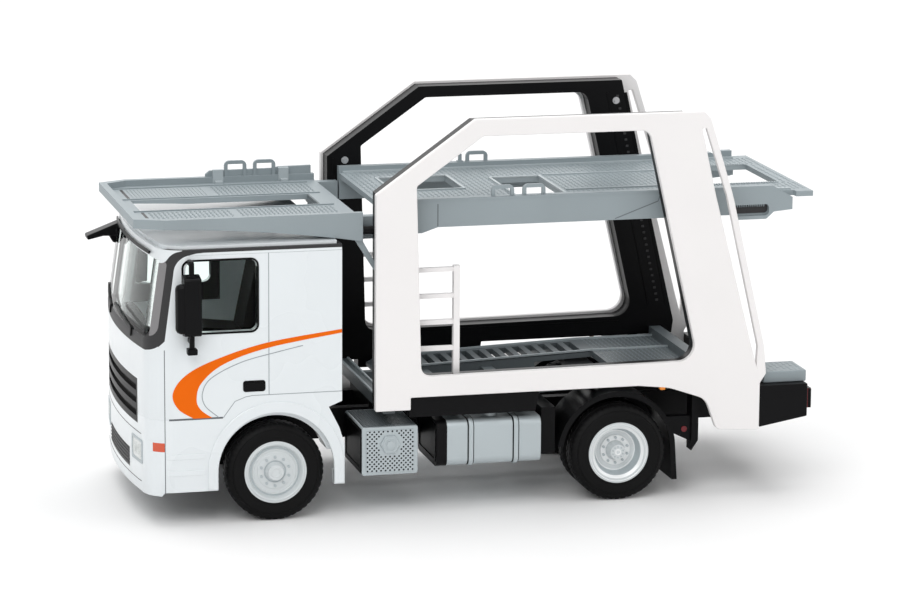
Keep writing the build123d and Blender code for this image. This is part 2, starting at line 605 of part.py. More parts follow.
def over_cab_deck():
    plan = whole_plan([
        (DECK_FRONT, DECK_NOSE_HALF), (DECK_FRONT - DECK_CHAMFER, DECK_HALF), (DECK_BACK, DECK_HALF),
    ])
    inner_plan = whole_plan([
        (DECK_FRONT - CURB, DECK_NOSE_HALF - CURB), (DECK_FRONT - DECK_CHAMFER, DECK_HALF - CURB),
        (DECK_BACK - 1, DECK_HALF - CURB),
    ])
    low = DECK_TOP - BEAM_DEPTH
    tread_top = DECK_TOP - TREAD_DROP
    middle = (DECK_FRONT + DECK_BACK) / 2
    nose = (DECK_FRONT, DECK_TOP - NOSE_DEPTH)
    arch = ThreePointArc((DECK_BACK, low), (middle, DECK_TOP - ARCH_DEPTH), nose)
    rest = Polyline(nose, (DECK_FRONT, DECK_TOP), (DECK_BACK, DECK_TOP), (DECK_BACK, low))
    plane = Plane(origin=(0, DECK_HALF, 0), x_dir=(1, 0, 0), z_dir=(0, -1, 0))
    arched = extrude(plane * make_face(arch + rest), amount=2 * DECK_HALF)
    deck = (along_z(plan, low, DECK_TOP) & arched) - along_z(inner_plan, 0.0, FAR)
    deck += along_z(plan, tread_top - TREAD, tread_top) & arched
    deck -= box(DECK_BACK + 2.6, DECK_FRONT - 2.2, -DECK_HOLE_HALF, DECK_HOLE_HALF, 0.0, FAR)
    deck += box(DECK_BACK, DECK_BACK + 1.0, -DECK_HALF + CURB, DECK_HALF - CURB, low, tread_top)
    lug = box(UPPER_FRONT + 0.2, DECK_BACK + 1.0, FRAME_IN - 1.2, FRAME_IN, low, tread_top)
    strut = [
        (DECK_BACK + 1.0, low + 0.4), (DECK_BACK + 0.2, low + 0.4), (FRAME_FRONT, low - 2.4),
        (FRAME_FRONT, low - 3.4),
    ]
    deck += both(lug + along_y(strut, PIN_Y - 0.3, PIN_Y + 0.3))
    for x0 in DECK_HOOPS:
        deck += hoop(x0, x0 + HOOP_LENGTH, -DECK_HALF + CURB / 2, DECK_TOP, DECK_TOP + HOOP_RISE)
    return deck


export(over_cab_deck(), "over_cab_deck")

# Upper rear deck: beams between the inner frames, a closed floor with an opening, and open arms behind
ARM_SHORT = 2.3
ARM_END = REAR_END + ARM_SHORT
ARM_LENGTH = 10.4
ARM_OPEN = REAR_END + ARM_LENGTH
ARM_IN = 6.0
SLOT_RUN = 9.2
ARM_SLOT = REAR_END + SLOT_RUN
BEAM_WALL = 1.0
REAR_BAR = 2.0
REAR_BAR_LAP = 0.35
REAR_BAR_HALF = FRAME_IN + REAR_BAR_LAP
BRACKET_LENGTH = 6.2
BRACKET_BACK = UPPER_FRONT - BRACKET_LENGTH
UPPER_DROP = 0.7
UPPER_HOOP_RISE = 1.2
HOOP_SET = 15.0
HOLE_FRONT = UPPER_FRONT - 3.4
HOLE_BAR = UPPER_FRONT - 11.4
HOLE_STEP = 4.8
HOLE_REACH = 5.0
UPPER_HOLES = [
    # front x, back x, right y, left y
    (HOLE_FRONT, HOLE_BAR, -5.9, 2.4),
    (HOLE_BAR - HOLE_STEP, REAR_AXLE + HOLE_REACH, -3.4, 8.4),
]
UPPER_HOOPS = [
    # rear x, side
    (UPPER_FRONT - HOOP_SET, 1),
    (UPPER_FRONT - HOOP_SET - 3.6, 1),
    (UPPER_FRONT - HOOP_SET - 2.8, -1),
]


def upper_deck():
    top = UPPER_TOP - UPPER_DROP
    deep = UPPER_LOW - 0.6
    beam = [
        (UPPER_FRONT, UPPER_TOP), (UPPER_FRONT, deep), (BRACKET_BACK + 1.8, deep), (BRACKET_BACK, UPPER_LOW),
        (ARM_SLOT + 0.2, UPPER_LOW), (ARM_SLOT - 0.4, deep), (ARM_END + 3.1, deep),
        (ARM_END + 2.2, UPPER_LOW + 0.2), (ARM_END, UPPER_LOW + 0.4), (ARM_END, UPPER_TOP - 1.4),
        (ARM_END + 2.4, UPPER_TOP),
    ]
    slot = [
        (ARM_END + 2.8, UPPER_LOW - 0.2), (ARM_SLOT, UPPER_LOW - 0.2), (ARM_SLOT, UPPER_LOW + 1.1),
        (ARM_END + 2.8, UPPER_LOW + 1.1),
    ]
    side = along_y(beam, FRAME_IN - BEAM_WALL, FRAME_IN)
    side -= along_y(slot, FRAME_IN - BEAM_WALL / 2, FRAME_IN + 1, {0: 0.4, 3: 0.4})
    side += box(REAR_END, ARM_OPEN, ARM_IN, FRAME_IN - LAP, top - TREAD, top)
    deck = both(side)
    deck += box(ARM_OPEN, UPPER_FRONT, -FRAME_IN + LAP, FRAME_IN - LAP, top - TREAD, top)
    for front, back, right, left in UPPER_HOLES:
        deck -= box(back, front, right, left, 0.0, FAR)
    deck += box(REAR_END, REAR_END + REAR_BAR, -REAR_BAR_HALF, REAR_BAR_HALF, top - TREAD, top)
    hoop_y = FRAME_IN - BEAM_WALL / 2
    for x0, turn in UPPER_HOOPS:
        deck += hoop(x0, x0 + HOOP_LENGTH, turn * hoop_y, UPPER_TOP, UPPER_TOP + UPPER_HOOP_RISE)
    return deck


export(upper_deck(), "upper_deck")

# Lower deck: crossmembers between the inner frames, slotted ramps and raised plates over the rear axle
RAMP = 0.7
RAMP_SET = 1.3
RAMP_FRONT = POST_BACK - RAMP_SET
RAMP_OVER = 1.9
RAMP_TOP = REAR_AXLE - RAMP_OVER
RAMP_TIP = 1.2
TIP_DROP = 0.6
PLATE_RUN = 12.6
PLATE_BACK = REAR_AXLE - PLATE_RUN
RAMP_FOOT = 0.25
RAMP_LOW_Z = BED_TOP + RAMP_FOOT
RAMP_RISE = 1.2
RAMP_HIGH_Z = BED_TOP + RAMP_RISE
AXLE_SPACE = 5.0
REAR_CROSS_TOP = BEAM_LOW + 0.9
SLOTS = 14
SLOT_LENGTH = 0.85
SLOT_EDGE = 1.1


def lower_deck():
    tip = RAMP_FRONT + RAMP_TIP
    tip_z = RAMP_LOW_Z - TIP_DROP
    slope = (RAMP_HIGH_Z - RAMP_LOW_Z) / (RAMP_FRONT - RAMP_TOP)
    track_side = [
        (tip, tip_z), (RAMP_FRONT, RAMP_LOW_Z), (RAMP_TOP, RAMP_HIGH_Z), (PLATE_BACK, RAMP_HIGH_Z),
        (PLATE_BACK, RAMP_HIGH_Z - RAMP), (RAMP_TOP, RAMP_HIGH_Z - RAMP), (RAMP_FRONT, RAMP_LOW_Z - RAMP),
        (tip, tip_z - RAMP / 2),
    ]
    track = along_y(track_side, RAMP_IN, RAMP_OUT)
    pitch = (RAMP_FRONT - RAMP_TOP - 2 * SLOT_EDGE) / SLOTS
    for k in range(SLOTS):
        x0 = RAMP_TOP + SLOT_EDGE + k * pitch
        track -= box(x0, x0 + SLOT_LENGTH, RAMP_IN + SLOT_EDGE, RAMP_OUT - SLOT_EDGE, 0.0, FAR)
    front_end = REAR_AXLE + AXLE_SPACE
    front_bearer = [
        (BEARER_PLACES[0], BED_LOW), (BEARER_PLACES[0], BED_TOP), (RAMP_FRONT, BED_TOP),
        (front_end, RAMP_LOW_Z - RAMP / 2 + slope * (RAMP_FRONT - front_end)), (front_end, BED_TOP - LAP),
        (BEARER_PLACES[1], BED_LOW),
    ]
    track += along_y(front_bearer, RAMP_IN, RAMP_IN + SLOT_EDGE)
    deck = both(track)
    deck += box(PLATE_BACK, RAMP_TOP, -RAMP_OUT, RAMP_OUT, RAMP_HIGH_Z - RAMP, RAMP_HIGH_Z)
    front_place, middle_place, rear_place = BEARER_PLACES
    crossmembers = [
        # middle x, top z
        (front_place, BED_TOP),
        ((front_place + middle_place) / 2, BED_TOP),
        (middle_place, BED_TOP),
        (rear_place, REAR_CROSS_TOP),
    ]
    for middle, top in crossmembers:
        x0 = middle - CROSS_WIDTH / 2
        deck += box(x0, x0 + CROSS_WIDTH, -FRAME_IN, FRAME_IN, BED_LOW, top)
    return deck


export(lower_deck(), "lower_deck")

# Silencer box with a hexagonal boss, tank and valve boxes, and on the right a battery box and a second tank
BOX_GAP = 2.4
BOX_FRONT = CAB_BACK - BOX_GAP
BOX_LENGTH = 6.4
BOX_BACK = BOX_FRONT - BOX_LENGTH
BOX_LOW = 4.4
BOX_TOP = 9.9
BOX_SINK = 1.15
BOX_OUT = HALF_WIDTH - BOX_SINK
BOX_EDGE = 0.3
BOSS_R = 1.15
BOSS_RISE = 0.35
TANK_GAP = 2.1
TANK_FRONT = BOX_BACK - TANK_GAP
TANK_TAIL = 3.6
TANK_BACK = REAR_AXLE + TYRE_R + TANK_TAIL
TANK_LOW = 5.0
TANK_TOP = RAIL_TOP
TANK_SINK = 0.85
TANK_OUT = HALF_WIDTH - TANK_SINK
TANK_BEND = 0.9
STRAP_PLACES = (TANK_FRONT - 3.9, TANK_BACK + 2.9)
STRAP = 0.5
STRAP_RISE = 0.12
CAP_R = 0.8
VALVE_SINK = 2.25
VALVE_OUT = HALF_WIDTH - VALVE_SINK
VALVE_GAP = 0.4
VALVE_LENGTH = 1.6


def silencer():
    body = box(BOX_BACK, BOX_FRONT, RAIL_OUT, BOX_OUT, BOX_LOW, BOX_TOP)
    body = fillet(body.edges().filter_by(Axis.Y), BOX_EDGE)
    middle = (BOX_FRONT + BOX_BACK) / 2
    plane = Plane(origin=(middle, BOX_OUT, BOX_LOW + 3.5), x_dir=(1, 0, 0), z_dir=(0, 1, 0))
    return body + extrude(plane * RegularPolygon(BOSS_R, 6), amount=BOSS_RISE)


def tank_slice(x0, x1, grow):
    corners = [
        (RAIL_OUT, TANK_LOW - grow), (TANK_OUT + grow, TANK_LOW - grow), (TANK_OUT + grow, TANK_TOP + grow),
        (RAIL_OUT, TANK_TOP + grow),
    ]
    return along_x(corners, x0, x1, {1: TANK_BEND, 2: TANK_BEND})


def tank():
    body = tank_slice(TANK_BACK, TANK_FRONT, 0.0)
    for middle in STRAP_PLACES:
        body += tank_slice(middle - STRAP / 2, middle + STRAP / 2, STRAP_RISE)
    cap_x = sum(STRAP_PLACES) / 2
    return body + rod_z(cap_x, TANK_OUT - 2.2, CAP_R, TANK_TOP - 0.1, TANK_TOP + 0.45)


export(silencer(), "exhaust_box")
export(tank(), "fuel_tank")
export(mirror(tank(), about=Plane.XZ), "reserve_tank")
battery = box(BOX_BACK, BOX_FRONT, -BOX_OUT, -RAIL_OUT, BOX_LOW, BOX_TOP)
export(fillet(battery.edges().filter_by(Axis.Y), BOX_EDGE), "battery_box")
valve_front = TANK_BACK - VALVE_GAP
valve = box(valve_front - VALVE_LENGTH, valve_front, RAIL_OUT, VALVE_OUT, TANK_LOW + LAP, BED_LOW)
export_pair(valve, "valve_box")

# Tail: lamp boxes with lamps and step plates, and a cross beam with the hole for a trailer's coupling
LAMP_DEPTH = 0.5
STEP_RISE = 1.3
STEP_INSET = 1.2
COUPLING_SET = 3.7
COUPLING_X = TAIL_FRONT - COUPLING_SET
COUPLING_HALF = 1.6
COUPLING_R = 0.8
COUPLING_LOW = 6.0
COUPLING_DEEP = 3.0
COUPLING_WIDE = 2.0
TAIL_BEAM = 1.0
tail_side = [
    (TAIL_FRONT, TAIL_TOP), (TAIL_END, TAIL_TOP), (TAIL_END, TAIL_LOW + 1.3), (TAIL_FRONT, TAIL_LOW + 0.3),
]
lamp = box(TAIL_END - LAMP_DEPTH, TAIL_END, TAIL_IN + 1.4, HALF_WIDTH - 0.4, TAIL_TOP - 2.9, TAIL_TOP - 0.7)
step = box(TAIL_END - 0.2, HEEL[0] - 0.1, TAIL_IN, HALF_WIDTH - STEP_INSET, TAIL_TOP, TAIL_TOP + STEP_RISE)
export_pair(along_y(tail_side, TAIL_IN, HALF_WIDTH), "tail_box")
export_pair(lamp, "tail_lamp")
export_pair(step, "step_plate")
coupling = box(TAIL_END + TAIL_BEAM, RAIL_BACK, -TAIL_IN, TAIL_IN, TAIL_LOW + 0.8, TAIL_TOP - TAIL_BEAM)
coupling += box(
    COUPLING_X - COUPLING_HALF, COUPLING_X + COUPLING_HALF, -COUPLING_WIDE, COUPLING_WIDE, COUPLING_LOW,
    TAIL_LOW + TAIL_BEAM,
)
coupling -= rod_z(COUPLING_X, 0.0, COUPLING_R, COUPLING_LOW - LAP, COUPLING_LOW + COUPLING_DEEP)
export(coupling, "coupling_beam")


# Axles and wheels
def turned(axle_x, profile):
    # A solid turned about an axle from (radius, y) points.
    plane = Plane(origin=(axle_x, 0, TYRE_R), x_dir=(1, 0, 0), z_dir=(0, 0, 1))
    return revolve(plane * outline(profile), axis=Axis((axle_x, 0, TYRE_R), (0, 1, 0)))


def tyre(axle_x, y1):
    y0 = y1 - TYRE_WIDTH
    wall_r = TYRE_R - TYRE_SHOULDER
    return turned(axle_x, [
        (RIM_R, y0 + RIM_INSET), (wall_r, y0), (TYRE_R, y0 + TYRE_SHOULDER), (TYRE_R, y1 - TYRE_SHOULDER),
        (wall_r, y1), (RIM_R, y1 - RIM_INSET),
    ])


def rim(axle_x, y0, dish_y, hub_y):
    lip_y = TYRE_OUT - RIM_INSET
    lip_r = RIM_R - RIM_LIP
    return turned(axle_x, [
        (AXLE_R, y0), (RIM_R, y0), (RIM_R, lip_y), (lip_r, lip_y), (lip_r - 0.25, dish_y), (HUB_R, dish_y),
        (HUB_R - 0.3, hub_y), (0.0, hub_y), (0.0, AXLE_HALF), (AXLE_R, AXLE_HALF),
    ])


for name, axle_x in (("front", 0.0), ("rear", REAR_AXLE)):
    export(rod_y(axle_x, TYRE_R, AXLE_R, -AXLE_HALF, AXLE_HALF), name + "_axle")
export_pair(tyre(0.0, TYRE_OUT), "front_tyre")
export_pair(rim(0.0, OUTER_IN + RIM_INSET, TYRE_OUT - 0.55, TYRE_OUT + 0.15), "front_rim")
export_pair(tyre(REAR_AXLE, TYRE_OUT), "rear_outer_tyre")
export_pair(tyre(REAR_AXLE, OUTER_IN - TWIN_GAP), "rear_inner_tyre")
export_pair(rim(REAR_AXLE, TWIN_IN + RIM_INSET, TYRE_OUT - 1.7, TYRE_OUT - 0.4), "rear_rim")
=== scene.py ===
import json
import math

import bmesh
import bpy
from mathutils import Matrix, Vector


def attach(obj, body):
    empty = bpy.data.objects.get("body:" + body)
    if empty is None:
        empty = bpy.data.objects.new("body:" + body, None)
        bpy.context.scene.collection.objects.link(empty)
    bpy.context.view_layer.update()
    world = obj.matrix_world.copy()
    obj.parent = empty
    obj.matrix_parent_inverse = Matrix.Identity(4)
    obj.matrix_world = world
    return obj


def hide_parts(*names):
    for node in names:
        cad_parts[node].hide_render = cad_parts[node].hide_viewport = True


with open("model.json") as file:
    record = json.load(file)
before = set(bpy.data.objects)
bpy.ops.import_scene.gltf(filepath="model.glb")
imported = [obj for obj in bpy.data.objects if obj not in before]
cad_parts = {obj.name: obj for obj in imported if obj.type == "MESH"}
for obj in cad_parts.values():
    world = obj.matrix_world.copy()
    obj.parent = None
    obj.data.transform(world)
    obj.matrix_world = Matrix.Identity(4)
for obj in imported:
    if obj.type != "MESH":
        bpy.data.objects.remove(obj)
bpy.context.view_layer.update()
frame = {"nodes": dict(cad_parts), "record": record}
NODES = frame["nodes"]

# Places are written in mm from the front axle, as on a drawing, and moved into the frame in metres
MM = 0.001
SHIFT = 22.6
REAR_AXLE = -39.4
TYRE_R = 5.5
TYRE_WIDTH = 3.0
TYRE_OUT = 13.9
TWIN_IN = 10.5
CAB_HALF = 14.2
NOSE = 15.2
BELT = 20.6
ROOF = 30.9
SCREEN_LEAN = 1.5
HALF_WIDTH = 14.65
FRAME_IN = 11.65
SIDES = (("left", 1), ("right", -1))

# How deep small pieces reach into what they lie on, and how far print and fine lines stand out
SINK = 0.05
DEEP = 0.1
PRINT = 0.02
FINE = 0.012


def place(x, y, z):
    return Vector(((x + SHIFT) * MM, y * MM, z * MM))


# Materials
PATCH_SCALE = 90.0
PANE_SCALE = 200.0
GRAIN_DEPTH = 0.00005
COAT_ROUGH = 0.15
NOISE_LOW = 0.2
NOISE_HIGH = 0.8
GLOSS_LOW = 0.95
GLOSS_HIGH = 1.06
GLASS_TINT = (0.92, 0.985, 0.965, 1.0)
GLASS_IOR = 1.13
GLASS_ROUGH = 0.04


def noise(tree, scale, detail=2.0, rough=0.55):
    coords = tree.nodes.new("ShaderNodeTexCoord")
    tex = tree.nodes.new("ShaderNodeTexNoise")
    tex.inputs["Scale"].default_value = scale
    tex.inputs["Detail"].default_value = detail
    tex.inputs["Roughness"].default_value = rough
    tree.links.new(coords.outputs["Object"], tex.inputs["Vector"])
    return tex.outputs["Fac"]


def spread(tree, source, low, high):
    # Noise stays near its middle, so that part of its range is drawn out to the full one.
    node = tree.nodes.new("ShaderNodeMapRange")
    node.interpolation_type = "SMOOTHSTEP"
    node.inputs["From Min"].default_value = NOISE_LOW
    node.inputs["From Max"].default_value = NOISE_HIGH
    node.inputs["To Min"].default_value = low
    node.inputs["To Max"].default_value = high
    tree.links.new(source, node.inputs["Value"])
    return node.outputs["Result"]


def plastic(name, color, rough, patch, grain, bump, metal, coat, spec):
    # Moulded plastic: faint patches in its colour, uneven gloss and a fine grain.
    mat = bpy.data.materials.new(name)
    mat.use_nodes = True
    tree = mat.node_tree
    shader = tree.nodes["Principled BSDF"]
    shader.inputs["Metallic"].default_value = metal
    shader.inputs["Specular IOR Level"].default_value = spec
    shader.inputs["Coat Weight"].default_value = coat
    shader.inputs["Coat Roughness"].default_value = COAT_ROUGH
    patches = noise(tree, PATCH_SCALE)
    mix = tree.nodes.new("ShaderNodeMix")
    mix.data_type = "RGBA"
    mix.inputs["A"].default_value = [c * (1.0 - patch) for c in color] + [1.0]
    mix.inputs["B"].default_value = [min(1.0, c * (1.0 + patch)) for c in color] + [1.0]
    tree.links.new(spread(tree, patches, 0.0, 1.0), mix.inputs["Factor"])
    tree.links.new(mix.outputs["Result"], shader.inputs["Base Color"])
    gloss = spread(tree, patches, rough * GLOSS_LOW, rough * GLOSS_HIGH)
    tree.links.new(gloss, shader.inputs["Roughness"])
    bumps = tree.nodes.new("ShaderNodeBump")
    bumps.inputs["Strength"].default_value = bump
    bumps.inputs["Distance"].default_value = GRAIN_DEPTH
    tree.links.new(noise(tree, grain), bumps.inputs["Height"])
    tree.links.new(bumps.outputs["Normal"], shader.inputs["Normal"])
    return mat


def glazing(name):
    # Clear moulded glazing with a faint tint and slightly uneven gloss.
    mat = bpy.data.materials.new(name)
    mat.use_nodes = True
    tree = mat.node_tree
    shader = tree.nodes["Principled BSDF"]
    shader.inputs["Base Color"].default_value = GLASS_TINT
    shader.inputs["Transmission Weight"].default_value = 1.0
    shader.inputs["IOR"].default_value = GLASS_IOR
    tree.links.new(spread(tree, noise(tree, PANE_SCALE), 0.0, GLASS_ROUGH), shader.inputs["Roughness"])
    return mat


PLASTICS = [
    # name, colour, roughness, patches, grain, bump, metal, coat, specular
    ("panel_white", (0.85, 0.83, 0.825), 0.42, 0.012, 2600.0, 0.05, 0.0, 0.0, 0.5),
    ("cab_white", (0.76, 0.80, 0.82), 0.28, 0.012, 2600.0, 0.03, 0.0, 0.3, 0.5),
    ("deck_grey", (0.28, 0.325, 0.345), 0.5, 0.06, 3200.0, 0.1, 0.0, 0.0, 0.5),
    ("deck_dark", (0.12, 0.14, 0.15), 0.48, 0.08, 3200.0, 0.1, 0.0, 0.0, 0.5),
    ("black_plastic", (0.0035, 0.0035, 0.004), 0.36, 0.2, 2800.0, 0.08, 0.0, 0.0, 0.1),
    ("trim_grey", (0.03, 0.0295, 0.031), 0.5, 0.08, 2800.0, 0.06, 0.0, 0.0, 0.3),
    ("interior_grey", (0.003, 0.0031, 0.0033), 0.6, 0.15, 2400.0, 0.1, 0.0, 0.0, 0.05),
    ("lamp_clear", (0.62, 0.65, 0.64), 0.2, 0.05, 1800.0, 0.05, 0.0, 0.6, 0.5),
    ("lamp_orange", (0.62, 0.07, 0.015), 0.25, 0.06, 1800.0, 0.05, 0.0, 0.6, 0.5),
    ("lamp_red", (0.14, 0.004, 0.009), 0.25, 0.06, 1800.0, 0.05, 0.0, 0.2, 0.3),
    ("silver", (0.44, 0.49, 0.51), 0.4, 0.05, 3600.0, 0.08, 0.2, 0.0, 0.5),
    ("steel", (0.5, 0.5, 0.51), 0.35, 0.05, 3000.0, 0.05, 1.0, 0.0, 0.5),
    ("tyre_black", (0.004, 0.004, 0.0042), 0.5, 0.2, 2200.0, 0.15, 0.0, 0.0, 0.1),
    ("rim_silver", (0.62, 0.655, 0.665), 0.33, 0.03, 3000.0, 0.05, 0.2, 0.0, 0.5),
    ("stripe_orange", (0.83, 0.138, 0.001), 0.4, 0.02, 2600.0, 0.03, 0.0, 0.0, 0.1),
    ("lens_amber", (0.8, 0.27, 0.04), 0.3, 0.06, 1800.0, 0.05, 0.0, 0.0, 0.3),
    ("line_grey", (0.10, 0.11, 0.12), 0.5, 0.05, 2600.0, 0.03, 0.0, 0.0, 0.5),
    ("line_pale", (0.30, 0.33, 0.35), 0.5, 0.05, 2600.0, 0.03, 0.0, 0.0, 0.5),
    ("pale_grey", (0.42, 0.47, 0.49), 0.45, 0.06, 3000.0, 0.08, 0.0, 0.0, 0.5),
    ("glass_edge", (0.2, 0.195, 0.2), 0.2, 0.05, 2000.0, 0.02, 0.0, 0.5, 0.5),
    ("rim_bright", (0.84, 0.86, 0.865), 0.33, 0.03, 3000.0, 0.05, 0.1, 0.0, 0.5),
    ("mirror_glass", (0.55, 0.58, 0.6), 0.06, 0.04, 1200.0, 0.01, 1.0, 0.0, 0.5),
    ("floor_white", (0.93, 0.93, 0.93), 0.8, 0.004, 300.0, 0.01, 0.0, 0.0, 0.5),
]
LOOKS = {row[0]: plastic(*row) for row in PLASTICS}
LOOKS["clear_glazing"] = glazing("clear_glazing")
SLOTS = {part["node"]: part["material_slot"] for part in frame["record"]["subparts"]}
for name, slot in SLOTS.items():
    NODES[name].data.materials.clear()
    NODES[name].data.materials.append(LOOKS[slot])

# Rounded edges
SOFT_EDGE = 0.12
WELD = 0.002
FLAT_TURN = math.radians(0.6)
EDGE_TURN = math.radians(40)
SMOOTH_TURN = math.radians(35)
EDGE_STEPS = 2
SOFT_NODES = [
    "over_cab_deck", "upper_deck", "cab_base", "cab_shell", "battery_box", "left_tail_box", "right_tail_box",
    "left_step_plate", "right_step_plate", "left_side_panel", "right_side_panel", "left_inner_frame",
    "right_inner_frame", "left_mirror", "right_mirror", "front_mirror", "exhaust_box", "fuel_tank",
    "reserve_tank",
]


def bevel(obj, width):
    edge = obj.modifiers.new("edge", "BEVEL")
    edge.width = width * MM
    edge.segments = EDGE_STEPS
    edge.limit_method = "ANGLE"
    edge.angle_limit = EDGE_TURN
    return edge


for name in SOFT_NODES:
    weld = NODES[name].modifiers.new("weld", "WELD")
    weld.merge_threshold = WELD * MM
    flat = NODES[name].modifiers.new("flat", "DECIMATE")
    flat.decimate_type = "DISSOLVE"
    flat.angle_limit = FLAT_TURN
    bevel(NODES[name], SOFT_EDGE).harden_normals = True


# Mesh helpers: a shape is a list of points and a list of faces
def joined(shapes):
    verts = []
    faces = []
    for part_verts, part_faces in shapes:
        base = len(verts)
        verts += part_verts
        faces += [[base + i for i in face] for face in part_faces]
    return verts, faces


def piece(name, shapes, look, body="truck", smooth=False, edge=0.0):
    # One object of several shapes, with the look as its material; looks named like the record's slots are the
    # same materials as those slots.
    verts, faces = joined(shapes)
    mesh = bpy.data.meshes.new(name)
    mesh.from_pydata([place(*v) for v in verts], [], faces)
    bm = bmesh.new()
    bm.from_mesh(mesh)
    bmesh.ops.recalc_face_normals(bm, faces=bm.faces)
    bm.to_mesh(mesh)
    bm.free()
    obj = bpy.data.objects.new(name, mesh)
    bpy.context.scene.collection.objects.link(obj)
    mesh.materials.append(LOOKS[look])
    if smooth:
        mesh.shade_smooth()
        mesh.set_sharp_from_angle(angle=SMOOTH_TURN)
    if edge > 0.0:
        bevel(obj, edge)
    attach(obj, body)
    return obj


def slab(outline, point, low, high):
    # A prism on an outline; point(u, v, w) gives the place of outline point (u, v) at depth w.
    count = len(outline)
    verts = [point(u, v, low) for u, v in outline] + [point(u, v, high) for u, v in outline]
    faces = [list(range(count)), list(range(count, 2 * count))]
    for i in range(count):
        j = (i + 1) % count
        faces.append([i, j, count + j, count + i])
    return verts, faces


def lofted(loops):
    # A closed form through loops of points, with equally many in each.
    count = len(loops[0])
    last = (len(loops) - 1) * count
    verts = [spot for loop in loops for spot in loop]
    faces = []
    for base in range(0, last, count):
        for i in range(count):
            j = (i + 1) % count
            faces.append([base + i, base + j, base + count + j, base + count + i])
    return verts, faces + [list(range(count)), list(range(last, last + count))]


def curve_through(points, steps):
    # Points along a smooth curve through the given ones.
    out = []
    last = len(points) - 1
    for i in range(last):
        p0 = Vector(points[max(i - 1, 0)])
        p1 = Vector(points[i])
        p2 = Vector(points[i + 1])
        p3 = Vector(points[min(i + 2, last)])
        for k in range(steps):
            t = k / steps
            a = 2 * p1 + (p2 - p0) * t
            b = (2 * p0 - 5 * p1 + 4 * p2 - p3) * t * t
            c = (3 * p1 - p0 - 3 * p2 + p3) * t * t * t
            out.append(tuple((a + b + c) / 2))
    out.append(tuple(points[-1]))
    return out


def strip(left, right, point, low, high):
    # A thin band between two edges with equally many points.
    count = len(left)
    verts = []
    for edge in (left, right):
        verts += [point(u, v, low) for u, v in edge]
        verts += [point(u, v, high) for u, v in edge]
    a, b, c, d = 0, count, 2 * count, 3 * count
    faces = [[a, b, d, c], [a + count - 1, c + count - 1, d + count - 1, b + count - 1]]
    for i in range(count - 1):
        j = i + 1
        faces += [[a + i, a + j, b + j, b + i], [c + i, d + i, d + j, c + j]]
        faces += [[b + i, b + j, d + j, d + i], [a + i, c + i, c + j, a + j]]
    return verts, faces


def line(path, width, point, low, high):
    # A band of even width along a path of (u, v) points.
    left = []
    right = []
    for i, (u, v) in enumerate(path):
        ahead = Vector(path[min(i + 1, len(path) - 1)]) - Vector(path[max(i - 1, 0)])
        ahead.normalize()
        left.append((u - ahead.y * width / 2, v + ahead.x * width / 2))
        right.append((u + ahead.y * width / 2, v - ahead.x * width / 2))
    return strip(left, right, point, low, high)


def between(rows, point, low, high):
    # A band from rows of place along it, upper z and lower z.
    upper = [(u, top) for u, top, foot in rows]
    lower = [(u, foot) for u, top, foot in rows]
    return strip(upper, lower, point, low, high)


def ring(outer, inner, point, low, high):
    # A closed band between two loops with equally many points.
    count = len(outer)
    verts = []
    for loop in (outer, inner):
        verts += [point(u, v, low) for u, v in loop]
        verts += [point(u, v, high) for u, v in loop]
    faces = []
    for i in range(count):
        j = (i + 1) % count
        for a, b in ((0, count), (count, 3 * count), (3 * count, 2 * count), (2 * count, 0)):
            faces.append([a + i, a + j, b + j, b + i])
    return verts, faces


def grown(area, more):
    # An area (u0, u1, v0, v1), made larger all round, or smaller where more is below 0.
    u0, u1, v0, v1 = area
    return (u0 - more, u1 + more, v0 - more, v1 + more)


def corners(u0, u1, v0, v1):
    return [(u1, v1), (u0, v1), (u0, v0), (u1, v0)]


def rounded(u0, u1, v0, v1, r, steps=5):
    # Corner points of a rectangle with round corners.
    out = []
    for cu, cv, start in ((u1 - r, v1 - r, 0), (u0 + r, v1 - r, 1), (u0 + r, v0 + r, 2), (u1 - r, v0 + r, 3)):
        for k in range(steps + 1):
            a = (start + k / steps) * math.pi / 2
            out.append((cu + r * math.cos(a), cv + r * math.sin(a)))
    return out


def circle(u, v, r, sides, phase=0.0):
    turns = [phase + 2 * math.pi * k / sides for k in range(sides)]
    return [(u + r * math.cos(a), v + r * math.sin(a)) for a in turns]


def upright(x, y, z):
    return (x, y, z)


def side_face(turn):
    # Outline points (x, z) set at a distance from the middle plane.
    def point(x, z, y):
        return (x, turn * y, z)
    return point


def end_face(turn):
    # Outline points (y, z) set at a place along the truck.
    def point(y, z, x):
        return (x, turn * y, z)
    return point


def block(x0, x1, y0, y1, z0, z1):
    return slab(corners(x0, x1, y0, y1), upright, z0, z1)


def block_pair(x0, x1, y0, y1, z0, z1):
    return [block(x0, x1, y0, y1, z0, z1), block(x0, x1, -y1, -y0, z0, z1)]


def spun(axle_x, turn, profile, sides, cut=None):
    # A closed profile of (radius, y) turned about an axle; cut(k, radius, y) may take some radius away.
    count = len(profile)
    verts = []
    for k in range(sides):
        a = 2 * math.pi * k / sides
        for r, y in profile:
            deep = r - (cut(k, r, y) if cut else 0.0)
            verts.append((axle_x + deep * math.cos(a), turn * y, TYRE_R + deep * math.sin(a)))
    faces = []
    for k in range(sides):
        m = (k + 1) % sides
        for i in range(count):
            j = (i + 1) % count
            faces.append([k * count + i, k * count + j, m * count + j, m * count + i])
    return verts, faces


# Chequer plate
STUD_LONG = 0.2
STUD_WIDE = 0.08
STUD_RISE = 0.035
STUD_FOOT = 0.03
STUD_PITCH = 0.58


